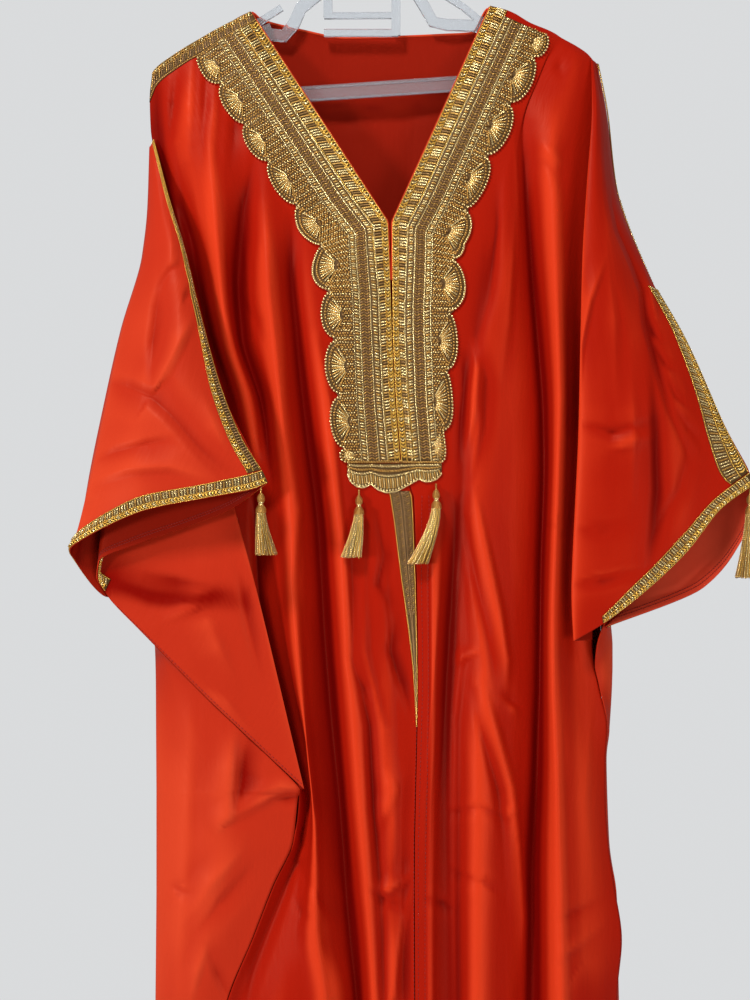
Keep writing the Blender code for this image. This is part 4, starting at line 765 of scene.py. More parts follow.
CREASES = {
    "front_right": creases("""
        3 -1.9, 176 66, 173 105, 170 150;
        8, 157 78 -0.6, 158 130 -3.4, 166 180 -3.8, 178 230 -0.8;
        3 1.7, 192 58, 190 105, 188 160;
        2.5 -1.8, 206 62, 204 105, 202 165;
        3 1.8, 216 74, 214 115, 212 165;
        4 -1.8, 234 96, 233 130, 228 180;
        6, 175 150 -0.5, 187 220 -2, 198 280 -3, 210 340 -3, 235 400 -3, 254 470 -3.4, 256 540 -3.4,
          259 600 -3, 270 660 -3, 280 710 -2.4, 296 770 -1;
        6, 205 110 0.3, 213 180 2.2, 217 240 3, 224 310 3, 240 370 2, 262 430 0.3;
        5, 256 150 -0.3, 243 210 -2, 238 290 -2.6, 242 345 -2.6, 262 405 -2, 276 470 -0.4;
        5, 266 210 0.4, 269 290 2.5, 277 360 2.8, 284 440 3, 297 510 2.2, 292 580 3, 298 650 3,
          305 730 2.6, 315 820 2.6, 316 930 3, 325 1000 3, 324 1200 2.4, 322 1420 2;
        6, 291 215 -0.6, 292 285 -2, 299 360 -2.6, 308 450 -2.6, 318 530 -2.4, 324 620 -3, 331 710 -3,
          342 820 -3, 350 940 -3, 357 1000 -3, 360 1200 -2, 362 1420 -2;
        5, 316 340 0.5, 328 400 2, 338 500 2.4, 346 580 2, 353 660 0.4;
        7, 352 530 -0.4, 352 590 -2.4, 353 660 -3, 370 726 -2.6, 373 811 -2.8, 381 893 -0.5;
        6, 364 540 0.4, 365 650 2.2, 383 730 2.4, 387 811 0.5;
        4, 391 1010 2.4, 396 960 2.4, 402 921 2, 416 872 0.4;
        5 -2.0, 292 854, 322 901, 337 926;
        4 1.6, 379 830, 388 806, 403 768;
        4 1.8, 378 897, 396 885, 418 868;
        4 -2.4, 376 515, 384 556, 378 584, 392 612;
        3.5 -2.4, 396 618, 389 650, 401 684, 410 716;
        5, 385 505 0.2, 384 600 1.6, 390 700 1.2, 393 800 1.8, 390 900 1.6, 396 1000 2;
        4, 403 760 -0.3, 402 860 -1.8, 404 960 -1.8, 402 1100 -1;
        2.5 -1.4, 357 675, 364 688, 370 702;
        2.2 -1.5, 365 889, 385 898, 408 909;
        2.2 1.0, 372 884, 388 890, 402 886;
        3.0 1.2, 385 766, 391 783, 398 799;
        3.0 -1.3, 287 886, 300 862, 320 852;
        3.0 -1.2, 289 894, 303 912, 318 921;
        3.5 1.3, 262 760, 285 800, 300 850, 290 905;
        4 1.2, 190 150, 198 210, 208 262;
        2.5 -1.4, 176 200, 188 232, 196 250;
        2.5 1.0, 226 330, 240 348, 251 378;
        2.5 -1.1, 246 300, 258 322, 268 352;
        5 1.3, 250 950, 240 1030, 232 1120, 230 1230;
        6 -1.6, 280 1010, 270 1110, 262 1230, 255 1400"""),
    "front_left": creases("""
        7, 519 105 -0.4, 524 165 -2.4, 529 230 -3, 533 290 -3, 538 350 -3, 543 410 -3, 543 480 -3.4,
          541 560 -3.4, 540 690 -3, 536 770 -3, 532 870 -3, 531 1000 -3, 536 1200 -2, 545 1400 -2;
        7, 552 110 0.4, 555 200 2, 557 300 2.6, 560 400 3, 557 500 3, 552 600 3, 553 700 3, 558 800 3,
          561 900 3, 563 1000 3, 575 1300 2;
        4, 578 320 -0.4, 577 400 -2, 576 470 -2.2, 571 530 -2, 568 590 -2, 571 650 -0.4;
        4, 470 335 0.3, 476 370 2.4, 474 410 2.6, 464 460 0.3;
        3, 462 350 -0.3, 463 390 -2, 459 430 -2.2, 456 470 -0.3;
        3.5, 481 340 -0.3, 486 380 -1.8, 484 430 -2, 475 480 -0.3;
        4, 474 492 0.5, 485 546 3, 500 616 3.2, 507 660 2.6, 506 696 0.4;
        5, 467 520 -0.4, 474 570 -2, 486 630 -2.2, 496 684 -0.4;
        4, 482 684 0.5, 497 735 3, 512 790 3.2, 519 850 3, 524 920 2.8, 522 980 0.4;
        5, 474 690 -0.5, 484 740 -2.2, 497 790 -2.2, 503 840 -0.4;
        2.5 1.8, 457 664, 466 656, 480 649;
        1.8 -1.4, 500 692, 510 701, 521 708;
        1.8 1.2, 502 699, 513 709, 517 716;
        2.2 -1.3, 450 812, 480 806, 510 821;
        2.5 -1.3, 450 868, 482 882, 508 899;
        2.2 -1.4, 422 897, 440 901, 455 909;
        2.2 1.3, 505 806, 512 812, 521 808;
        6, 442 500 0.6, 438 600 2.6, 432 700 2.6, 425 800 2.4, 422 920 0.6;
        6, 456 500 -0.6, 451 600 -2.8, 444 700 -3, 438 800 -3, 436 900 -2.8, 436 1010 -2.4;
        4, 461 570 0.4, 461 660 2, 455 720 2.2, 454 811 2.2, 454 911 2.2, 455 1010 2;
        4 -1.2, 561 57, 558 68, 562 80;
        4.5 1.4, 540 142, 551 152, 560 165;
        3 -1.3, 543 160, 553 172, 560 190;
        2.5 1.2, 545 515, 555 521, 566 530;
        2.5 -1.2, 547 525, 556 532, 564 541;
        3 1.3, 546 966, 570 950, 604 922;
        3 -1.2, 552 925, 575 912, 600 898;
        5 1.5, 515 200, 512 260, 508 320, 500 380;
        4 -1.3, 497 215, 492 265, 486 310;
        4 1.0, 590 700, 585 800, 592 900"""),
    "back": creases("""
        8 -2.2, 250 150, 262 420, 256 760, 246 1100;
        8 2.2, 330 180, 326 480, 340 860, 336 1300;
        7 -2.0, 410 130, 404 430, 414 800, 408 1200;
        9 2.4, 500 120, 506 400, 496 720, 508 1150;
        6 -1.8, 560 160, 552 430, 560 820;
        3 -1.8, 325 107, 349 114, 374 107, 401 113, 417 107, 433 103;
        3 1.2, 350 112, 360 122, 378 140"""),
    "sleeve_right_back": creases("""
        10, 107 382 -0.6, 130 388 -2.6, 151 397 -3.2, 169 413 -3, 196 444 -2.4, 230 478 -0.6;
        8, 151 397 0.6, 164 371 3, 180 340 3, 193 316 0.6;
        7, 151 397 -0.6, 153 342 -2.6, 157 308 -2.4, 164 280 -0.5;
        8 1.5, 168 205, 172 245, 168 288;
        4 -1.8, 186 262, 170 270, 158 290;
        2.5 -2.0, 191 284, 186 296, 184 306;
        6 -2.0, 98 462, 118 452, 148 444, 175 438;
        7 1.8, 88 482, 128 468, 170 466, 212 478;
        4 -1.5, 75 505, 84 503, 98 500;
        8 1.8, 200 388, 214 426, 230 462"""),
    "sleeve_right_front": creases("""
        9 -1.5, 116 586, 150 597, 199 602, 240 594;
        5 1.8, 163 620, 184 612, 206 604;
        5 -1.6, 146 574, 178 580, 214 590;
        8 1.6, 206 616, 220 650, 238 690;
        4 -1.5, 236 560, 246 620, 262 690;
        4 1.5, 206 690, 228 704, 254 734"""),
    "sleeve_left_front": creases("""
        5, 652 350 -0.3, 655 420 -2.0, 657 490 -2.2, 650 560 -0.4;
        2.5, 606 150 -0.4, 612 206 -2.2, 617 230 -3, 631 262 -3.2, 642 292 -3, 645 325 -2.8, 656 366 -2.4,
          669 412 -2, 690 462 -0.4;
        2.5, 609 160 0.4, 615 194 2.2, 624 226 2.8, 639 256 2.8, 650 286 2.4, 656 318 0.4;
        3.5, 604 262 0.4, 590 300 2.2, 580 350 2.2, 577 400 0.4;
        2 -1.8, 648 318, 652 334, 664 342;
        2 -1.8, 656 348, 664 364, 676 372;
        2 -1.8, 668 378, 676 398, 690 410;
        2 -1.6, 676 410, 688 430, 702 446;
        3 -2.2, 584 424, 612 431, 646 423;
        3 1.6, 604 451, 626 444, 652 438;
        3 -1.5, 580 529, 602 527, 630 523;
        3 -1.8, 576 584, 602 577, 642 569;
        6 1.4, 606 240, 614 320, 616 400;
        7 1.4, 630 350, 634 430, 632 500;
        4 -1.4, 690 440, 678 490, 650 540"""),
    "sleeve_left_back": creases("""
        4 -1.2, 640 600, 680 590, 716 556"""),
    "gore_right": creases("""
        7, 233 726 0.6, 231 770 2.8, 228 818 1.6;
        7, 247 738 -0.8, 243 775 -3, 238 808 -1;
        6, 228 819 1.4, 262 801 2.2, 294 785 0.6;
        7 2.2, 242 848, 212 884, 184 920;
        6 -2.2, 254 862, 222 900, 194 936;
        5 1.8, 206 944, 197 972, 188 1004;
        5 -1.9, 208 946, 217 974, 232 1006;
        9 1.8, 190 700, 186 800, 180 920, 176 1020;
        3 -1.5, 172 884, 180 890, 190 894;
        3 -1.5, 268 802, 284 798, 299 796;
        3 1.4, 260 792, 280 786, 297 789"""),
}

# Painted shade and painted light added to the fold shade: a painted shadow under a cuff, painted shade beside
# a sleeve and the yoke, and painted light where heights are negative, on a round
PAINTED_SHADE_AND_LIGHT = {
    "sleeve_right_front": creases("""
        15, 108 582 0.26, 150 595 0.3, 199 604 0.26, 244 604 0.16"""),
    "front_right": creases("""
        13, 160 70 0.2, 164 150 0.26, 178 220 0.26, 194 285 0.1;
        9, 262 160 0.02, 264 240 0.12, 272 330 0.02;
        8, 380 520 0.02, 384 600 0.12, 398 690 0.02"""),
    "front_left": creases("""
        9, 500 190 0.05, 488 260 0.14, 480 330 0.05;
        14, 570 440 -0.1, 573 600 -0.2, 580 800 -0.22, 584 960 -0.2"""),
    "sleeve_left_front": creases("""
        12, 646 330 0.06, 652 420 0.22, 656 500 0.24, 648 565 0.08"""),
}
print("creases", sum(map(len, CREASES.values())))

# %% [markdown]
# A panel is a thin closed shell: the same grid twice, a cloth's thickness apart, joined round the rim.
# Its UV map is measured along the threads in metres, so the weave keeps its scale in every fold.

# %% Making a panel
Sheet = namedtuple("Sheet", "grid normals rows columns")


def arc_lengths(grid):
    """How far each row and each column of the grid is from the first, along the cloth, in metres."""
    across = np.linalg.norm(np.diff(grid, axis=1), axis=-1)
    down = np.linalg.norm(np.diff(grid, axis=0), axis=-1)
    u = np.concatenate([np.zeros((len(grid), 1)), np.cumsum(across, axis=1)], axis=1)
    v = np.concatenate([[0.0], np.cumsum(down.mean(axis=1))])
    u -= u[:, u.shape[1] // 2][:, None]
    return u * MM, np.repeat(v[:, None], grid.shape[1], axis=1) * MM


def wall_mesh(name, front, back):
    """A closed wall between two grids of the same shape, with the UV map of its middle."""
    rows, columns = front.shape[:2]
    shift = rows * columns
    cell = np.arange(shift).reshape(rows, columns)
    a, b, c, d = (cell[:-1, :-1], cell[:-1, 1:], cell[1:, :-1], cell[1:, 1:])
    quads = np.stack([a, c, d, b], axis=-1).reshape(-1, 4)
    rim = np.concatenate([cell[0, :-1], cell[:-1, -1], cell[-1, :0:-1], cell[:0:-1, 0]])
    after = np.roll(rim, -1)
    edge = np.stack([rim, after, after + shift, rim + shift], axis=-1)
    faces = np.concatenate([quads, quads[:, ::-1] + shift, edge])
    points = np.concatenate([front.reshape(-1, 3), back.reshape(-1, 3)]) * MM
    mesh = bpy.data.meshes.new(name)
    mesh.from_pydata(points.tolist(), [], faces.tolist())
    u, v = arc_lengths((front + back) / 2)
    flat = np.stack([u.ravel(), v.ravel()], axis=-1)
    layer = mesh.uv_layers.new(name="cloth")
    layer.data.foreach_set("uv", flat[faces.ravel() % shift].ravel())
    inner = np.zeros(len(faces), np.int32)
    inner[len(quads):2 * len(quads)] = 1
    return mesh, inner


def add_piece(name, mesh, materials, replaces):
    """Link a finished mesh as a piece that rides on the gown and stands for its CAD nodes."""
    for material in materials:
        mesh.materials.append(material)
    item = linked(name, mesh)
    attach(item, "root")
    for part in replaces:
        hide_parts(part)
    return item


# How wide and how deep a hollow is that gets the full painted fold shade
FOLD_SHADE_REACH = 17.0
FOLD_SHADE_DEPTH = 4.2


def averaged(grid, axis, reach):
    """The grid with each point moved to the middle of its neighbours along one axis."""
    turned = np.moveaxis(grid, axis, 0)
    spacing = np.linalg.norm(np.diff(turned, axis=0), axis=-1).mean()
    count = max(1, min(int(reach / spacing), len(turned) // 2 - 1))
    ends = [np.repeat(turned[k:k + 1], count, axis=0) for k in (0, len(turned) - 1)]
    totals = np.cumsum(np.concatenate([0 * turned[:1], ends[0], turned, ends[1]]), axis=0)
    window = 2 * count + 1
    return np.moveaxis((totals[window:] - totals[:-window]) / window, 0, axis)


def fold_shade_mask(grid, normals, side):
    """Mask of the painted fold shade: zero on a ridge, one in a hollow and a half where the cloth is even, as
    its right side sees it.
    """
    even = averaged(averaged(grid, 1, FOLD_SHADE_REACH), 0, FOLD_SHADE_REACH)
    shade_amount = ((even - grid) * normals).sum(axis=-1) * side
    return np.clip(0.5 + shade_amount / (2 * FOLD_SHADE_DEPTH), 0, 1)


def refined_beside(net, rows, columns, opening):
    """The refined net, with rows that run straight from one to the next beside the neck opening."""
    fine = refined(net, rows, columns)
    coarse = refined(net, 1, columns)
    spots = np.arange(len(fine)) / rows
    low = np.minimum(spots.astype(int), len(net) - 2)
    share = (spots - low)[:, None, None]
    even = coarse[low] * (1 - share) + coarse[low + 1] * share
    away = abs(np.arange(fine.shape[1]) / columns - opening)
    return fine + (even - fine) * np.clip(2 - away, 0, 1)[:, None]


def add_cloth(name, net, rows, columns, outer=1, uneven=0.25, opening=None, lining=None, satin=None, even=0):
    """A panel with its creases, on the CAD's own lines. outer says which side is the right side."""
    if opening is None:
        fine = refined(net, rows, columns)
    else:
        fine = refined_beside(net, rows, columns, opening)
    if even:
        fine[..., 2] = averaged(fine, 0, even)[..., 2]
    lift = ripple(fine, uneven)
    for crease in CREASES.get(name, ()):
        lift += crease_heights(fine, crease)
    fine[..., 2] -= lift
    grid = placed(fine)
    normals = normals_of(grid)
    mesh, inner = wall_mesh(name, grid + normals * CLOTH / 2, grid - normals * CLOTH / 2)
    mesh.shade_smooth()
    sides = [satin or SATIN, lining or LINING][::outer]
    item = add_piece("cloth_" + name, mesh, sides, [name])
    mesh.polygons.foreach_set("material_index", inner)
    # The painted fold shade of each point, with the listed painted shadows and painted light added on top
    shade_amount = fold_shade_mask(grid, normals, 1)
    for shade in PAINTED_SHADE_AND_LIGHT.get(name, ()):
        shade_amount += outer * crease_heights(fine, shade)
    shade_amount = np.clip(shade_amount, 0, 1).ravel()
    painted_fold_shade = mesh.attributes.new("painted_fold_shade", "FLOAT", "POINT")
    painted_fold_shade.data.foreach_set("value", np.concatenate([shade_amount, 1 - shade_amount]))
    face_out(mesh)
    area = np.linalg.norm(np.cross(*cell_sides(grid)), axis=-1).sum() * MM * MM
    size = arc_lengths(grid)
    widths = np.ptp(size[0], axis=1)
    print(f"{name}: {len(mesh.polygons)} faces, {area:.3f} m2, {widths.mean():.2f} to {widths.max():.2f} "
          f"by {np.ptp(size[1]):.2f} m")
    return Sheet(grid, normals, rows, columns)


def cell_sides(grid):
    return grid[1:, :-1] - grid[:-1, :-1], grid[:-1, 1:] - grid[:-1, :-1]


def face_out(mesh):
    """Turn every face of a closed mesh outwards."""
    work = bmesh.new()
    work.from_mesh(mesh)
    bmesh.ops.recalc_face_normals(work, faces=work.faces)
    work.to_mesh(mesh)
    work.free()


# %% [markdown]
# The two fronts and the back hang from the hanger's arms. The back is dull inside, where the neck shows it.

# %% Fronts and back
FINE_ROWS, FINE_COLUMNS = 12, 12
front_right = add_cloth("front_right", front_right_net(), FINE_ROWS, FINE_COLUMNS, opening=9,
                        satin=SHADED_SATIN)
front_left = add_cloth("front_left", front_left_net(), FINE_ROWS, FINE_COLUMNS, opening=0,
                       satin=SHADED_SATIN)
back = add_cloth("back", back_net(), 4, 8, outer=-1)

# %% [markdown]
# Each sleeve is folded to the front. Its near half is the cloth from its back, so its right side shows.
# The far half shows the wrong side inside the cuff, and a flap of the right side below it.

# %% Sleeves and gores
sleeve_right_back = add_cloth("sleeve_right_back", sleeve_net(
    SLEEVE_RIGHT_BACK, REAR_SEAM_RIGHT, RIGHT_REAR_DOWNS, -REAR_SEAM_EASE), 30, 18, outer=-1)
sleeve_right_front = add_cloth("sleeve_right_front", sleeve_net(SLEEVE_RIGHT_FRONT), 32, 22, outer=1)
sleeve_left_front = add_cloth("sleeve_left_front", sleeve_net(SLEEVE_LEFT_FRONT), 28, 18, outer=1,
                              satin=SHADED_SATIN)
sleeve_left_back = add_cloth("sleeve_left_back", sleeve_net(
    SLEEVE_LEFT_BACK, REAR_SEAM_LEFT, LEFT_REAR_DOWNS, REAR_SEAM_EASE), 20, 12, outer=1, lining=LIT_LINING)
add_cloth("gore_right", gore_net(SIDE_GORE_RIGHT, REAR_SEAM_RIGHT, -REAR_SEAM_EASE), 22, 20,
          outer=-1, even=14)
gore_left_net = gore_net(SIDE_GORE_LEFT, REAR_SEAM_LEFT, REAR_SEAM_EASE)
# Its upper end reaches a little way up behind the sleeve, and below it the side seam is drawn shut
TUCKED_UNDER = 9.0
gore_left_net[0, :, 1] -= TUCKED_UNDER
front_edge = front_left_net()[:, -1]
for row in gore_left_net[4:]:
    row[0, 2] = np.interp(row[0, 1], front_edge[:, 1], front_edge[:, 2]) + SEAM_GAP
add_cloth("gore_left", gore_left_net, 8, 8, outer=1)

# %% [markdown]
# The trims are thread work: cords, bars, beads and stitches. Geometry Nodes make them. One tree turns
# lines into threads, one puts a bead on each point, and one sews stitches along a line.

# %% Trees for thread work
def thread_group(name, radius, sides, *more):
    """The group of a thread tree, with the inputs that each of them has."""
    return group_of(name, "GeometryNodeTree", (
        ("Geometry", "NodeSocketGeometry", None), ("Radius", "NodeSocketFloat", radius),
        ("Sides", "NodeSocketInt", sides), ("Material", "NodeSocketMaterial", None)) + more,
        (("Geometry", "NodeSocketGeometry"),))


def closing(tree, geometry, material, out):
    """Realise what was placed, smooth it and give it its finish."""
    real = node(tree, "GeometryNodeRealizeInstances", Geometry=geometry)
    smoothed = node(tree, "GeometryNodeSetShadeSmooth", Geometry=real.outputs[0])
    done = node(tree, "GeometryNodeSetMaterial", Geometry=smoothed.outputs[0], Material=material)
    tree.links.new(done.outputs[0], out.inputs[0])


def thread_tree():
    """Every line of the mesh becomes a round thread that knows how far along and round it a point is."""
    tree, given, out = thread_group("threads", 0.0006, 6)
    line = node(tree, "GeometryNodeMeshToCurve", Mesh=given.outputs["Geometry"]).outputs[0]
    length = node(tree, "GeometryNodeSplineParameter").outputs["Length"]
    line = node(tree, "GeometryNodeStoreNamedAttribute", {"domain": "POINT"}, Geometry=line,
                Name="along", Value=length).outputs[0]
    ring = node(tree, "GeometryNodeCurvePrimitiveCircle", Resolution=given.outputs["Sides"],
                Radius=given.outputs["Radius"]).outputs[0]
    round_share = node(tree, "GeometryNodeSplineParameter").outputs["Factor"]
    ring = node(tree, "GeometryNodeStoreNamedAttribute", {"domain": "POINT"}, Geometry=ring,
                Name="around", Value=round_share).outputs[0]
    tube = node(tree, "GeometryNodeCurveToMesh", Curve=line, Profile_Curve=ring, Fill_Caps=True)
    closing(tree, tube.outputs[0], given.outputs["Material"], out)
    return tree


def bead_tree():
    """Every point of the mesh gets a bead."""
    tree, given, out = thread_group("beads", 0.001, 1)
    ball = node(tree, "GeometryNodeMeshIcoSphere", Radius=given.outputs["Radius"],
                Subdivisions=given.outputs["Sides"]).outputs[0]
    placed_balls = node(tree, "GeometryNodeInstanceOnPoints", Points=given.outputs["Geometry"], Instance=ball)
    closing(tree, placed_balls.outputs[0], given.outputs["Material"], out)
    return tree


def stitch_tree():
    """A row of short stitches along every line of the mesh."""
    tree, given, out = thread_group("stitches", 0.0003, 5, ("Spacing", "NodeSocketFloat", 0.004),
                                    ("Length", "NodeSocketFloat", 0.0026))
    line = node(tree, "GeometryNodeMeshToCurve", Mesh=given.outputs["Geometry"]).outputs[0]
    spots = node(tree, "GeometryNodeCurveToPoints", {"mode": "LENGTH"}, Curve=line,
                 Length=given.outputs["Spacing"])
    stitch = node(tree, "GeometryNodeMeshCylinder", Vertices=given.outputs["Sides"],
                  Radius=given.outputs["Radius"], Depth=given.outputs["Length"]).outputs[0]
    sewn = node(tree, "GeometryNodeInstanceOnPoints", Points=spots.outputs["Points"], Instance=stitch,
                Rotation=spots.outputs["Rotation"])
    closing(tree, sewn.outputs[0], given.outputs["Material"], out)
    return tree


THREADS, BEADS, STITCHES = thread_tree(), bead_tree(), stitch_tree()
print("trees", THREADS.name, BEADS.name, STITCHES.name)


def plain_mesh(item):
    """What an object's modifier makes of it, as a mesh of its own. The object and its modifier go."""
    bpy.context.view_layer.update()
    view = bpy.context.evaluated_depsgraph_get()
    made = bpy.data.meshes.new_from_object(item.evaluated_get(view), depsgraph=view)
    bpy.data.objects.remove(item)
    return made


def run_tree(tree, mesh, values):
    """The plain mesh that a tree makes of this one."""
    item = linked("source", mesh)
    modifier = item.modifiers.new("tree", "NODES")
    modifier.node_group = tree
    for socket in tree.interface.items_tree:
        if socket.name in values:
            modifier[socket.identifier] = values[socket.name]
    return plain_mesh(item)


# %% A trim is a list of thread work that becomes one piece
class Trim:
    """Collects lines, points and walls in millimetres, and joins what the trees make of them."""

    def __init__(self, name):
        self.name, self.lines, self.points, self.seams, self.walls = name, {}, {}, {}, []

    def thread(self, points, radius, material, sides=5, closed=False):
        key = (material, ("Radius", radius * MM), ("Sides", sides))
        self.lines.setdefault(key, []).append((np.asarray(points), closed))

    def bead(self, points, radius, material, fineness=1):
        key = (material, ("Radius", radius * MM), ("Sides", fineness))
        self.points.setdefault(key, []).extend(np.asarray(points))

    def seam(self, points, material, radius=0.3, spacing=4.0, length=2.6):
        key = (material, ("Radius", radius * MM), ("Spacing", spacing * MM), ("Length", length * MM))
        self.seams.setdefault(key, []).append((np.asarray(points), False))

    def wall(self, front, back, material):
        self.walls.append((wall_mesh("wall", front, back)[0], material))

    def finish(self, *replaces, slot="gold_braid"):
        parts = list(self.walls)
        for tree, jobs, mesh_of in ((THREADS, self.lines, line_mesh), (BEADS, self.points, spot_mesh),
                                    (STITCHES, self.seams, line_mesh)):
            for (material, *sizes), places in jobs.items():
                parts.append((run_tree(tree, mesh_of(places), dict(sizes, Material=material)), material))
        mesh, materials = joined(self.name, parts)
        item = add_piece(self.name, mesh, materials, replaces)
        print(f"{self.name}: {sum(len(p.vertices) - 2 for p in mesh.polygons)} triangles")
        return item


def spot_mesh(spots):
    mesh = bpy.data.meshes.new("spots")
    mesh.from_pydata((np.array(spots) * MM).tolist(), [], [])
    return mesh


def line_mesh(lines):
    points, edges = [], []
    for line, closed in lines:
        first, count = len(points), len(line)
        points += (line * MM).tolist()
        edges += [(first + k, first + k + 1) for k in range(count - 1)]
        if closed:
            edges.append((first + count - 1, first))
    mesh = bpy.data.meshes.new("lines")
    mesh.from_pydata(points, edges, [])
    return mesh


def joined(name, parts):
    """One mesh from several, each with its own finish."""
    work = bmesh.new()
    materials = []
    for mesh, material in parts:
        if material not in materials:
            materials.append(material)
        mesh.materials.clear()
        first = len(work.faces)
        work.from_mesh(mesh)
        work.faces.ensure_lookup_table()
        for face in work.faces[first:]:
            face.material_index = materials.index(material)
            face.smooth = True
        bpy.data.meshes.remove(mesh)
    bmesh.ops.recalc_face_normals(work, faces=work.faces)
    mesh = bpy.data.meshes.new(name)
    work.to_mesh(mesh)
    work.free()
    return mesh, materials


# %% [markdown]
# A braid is a band on a panel. Its two edges are given in the panel's own rows and columns, and a point
# of it is asked for by millimetres along, share of the width and height over the cloth.

# %% Bands on a panel
def sampled(sheet, rows, columns):
    """Points and normals of a panel at these rows and columns of its net, read between the cells."""
    row = np.clip(rows * sheet.rows, 0, sheet.grid.shape[0] - 1.001)
    column = np.clip(columns * sheet.columns, 0, sheet.grid.shape[1] - 1.001)
    i, j = row.astype(int), column.astype(int)
    a, b = (row - i)[..., None], (column - j)[..., None]
    return [field[i, j] * (1 - a) * (1 - b) + field[i + 1, j] * a * (1 - b) + field[i, j + 1] * (1 - a) * b
            + field[i + 1, j + 1] * a * b for field in (sheet.grid, sheet.normals)]


class Band:
    """A strip of a panel between two edges, each given by the panel's rows and columns."""

    def __init__(self, sheet, side, first_edge, second_edge, lift=SEAM_GAP, steps=160):
        self.sheet, self.side, self.lift = sheet, side, lift
        shares = np.linspace(0, 1, steps)
        keys = np.linspace(0, 1, len(first_edge))
        edges = np.array((first_edge, second_edge), float)
        self.edges = [np.stack([np.interp(shares, keys, edge[:, k]) for k in (0, 1)], axis=-1)
                      for edge in edges]
        middle = self.read(shares, 0.5 + 0 * shares)[0]
        self.lengths = np.concatenate([[0], np.cumsum(np.linalg.norm(np.diff(middle, axis=0), axis=1))])
        self.shares, self.length = shares, self.lengths[-1]
        ends = self.read(shares, 0 * shares)[0] - self.read(shares, 0 * shares + 1)[0]
        self.width = np.linalg.norm(ends, axis=1)

    def read(self, along_share, across):
        """Points and normals of the sheet at these places of the band."""
        keys = np.linspace(0, 1, len(self.edges[0]))
        near = [np.stack([np.interp(along_share, keys, edge[:, k]) for k in (0, 1)], axis=-1)
                for edge in self.edges]
        spot = near[0] + (near[1] - near[0]) * np.asarray(across)[..., None]
        return sampled(self.sheet, spot[..., 0], spot[..., 1])

    def at(self, along, across, height=0.0):
        along, across, height = np.broadcast_arrays(*(np.asarray(x, float) for x in (along, across, height)))
        share = np.interp(along, self.lengths, self.shares)
        point, normal = self.read(share, across)
        return point + normal * (self.side * (CLOTH / 2 + self.lift + height))[..., None]

    def width_at(self, along):
        return np.interp(along, self.lengths, self.width)


TAPE = 0.5


def reading(value, along):
    """A share of the width that may change along the band."""
    return value(along) if callable(value) else value + 0 * np.asarray(along, float)


def lay_tape(trim, band, step=6.0):
    """The woven ground of a braid: a thin closed ribbon, dark partly as painted shade between its threads."""
    along = np.linspace(0, band.length, int(band.length / step) + 2)[:, None]
    across = np.linspace(0, 1, 7)[None, :]
    trim.wall(band.at(along, across, TAPE), band.at(along, across, 0.0), GROUND_WITH_GAP_SHADE)


def lay_cord(trim, band, across, height, radius, material, step=5.0):
    along = np.linspace(0.6, band.length - 0.6, int(band.length / step) + 2)
    trim.thread(band.at(along, reading(across, along), height), radius, material)


def lay_bars(trim, band, start, end, pitch, radius, slant, materials, height=TAPE + 0.4, swell=0.0):
    """Shiny bars across part of a band, each raised in its middle. The row swells where it is pleated."""
    share = np.array((0.0, 0.5, 1.0))
    for k, along in enumerate(np.arange(0.8 * pitch, band.length - 0.8 * pitch - abs(slant), pitch)):
        first, last = float(reading(start, along)), float(reading(end, along))
        if band.width_at(along) * abs(last - first) < 1.2:
            continue
        rise = height + swell * (1 + math.sin(k * 0.9) * math.sin(k * 0.37))
        trim.thread(band.at(along + slant * share, first + (last - first) * share,
                            rise + np.array((0.0, 0.55, 0.0))), radius, materials[k % len(materials)])


def lay_plait(trim, band, start, end, pitch, radius, material, height=TAPE + 0.35):
    """Two rows of slanting threads that meet in a point, as a flat plait does."""
    share = np.array((0.0, 0.55, 1.0))
    for k, along in enumerate(np.arange(0.6 * pitch, band.length - 1.2 * pitch, pitch)):
        first, last = float(reading(start, along)), float(reading(end, along))
        if band.width_at(along) * abs(last - first) < 1.6:
            continue
        middle = (first + last) / 2
        for side in (first, last):
            points = band.at(along + 0.6 * pitch * share, side + (middle - side) * share,
                             height + np.array((0.0, 0.8, 0.3)))
            trim.thread(points, radius, (material, BRIGHT)[k % 3 == 2])


def braid(node_name, band, flip=False, bars=(BRIGHT, GOLD, BRIGHT), edges=YELLOW):
    """The braid of the sleeves, cuffs and shoulders: bars on the wide part, a plait on the rest."""
    trim = Trim("gold_" + node_name)
    lay_tape(trim, band)
    turn = (lambda x: 1 - x) if flip else (lambda x: x)
    for across in (0.03, 0.58, 0.97):
        lay_cord(trim, band, turn(across), TAPE + 0.25, 0.55, edges)
    lay_bars(trim, band, turn(0.1), turn(0.5), 2.8, 0.8, 1.4, bars)
    lay_plait(trim, band, turn(0.64), turn(0.91), 3.0, 0.85, edges)
    return trim.finish(node_name)


# %% Braids on the shoulders, sleeves and cuffs
def edge_of(rows, columns):
    """An edge through these rows and columns of a panel. A single row or column serves all along it."""
    return list(zip(*np.broadcast_arrays(rows, columns)))


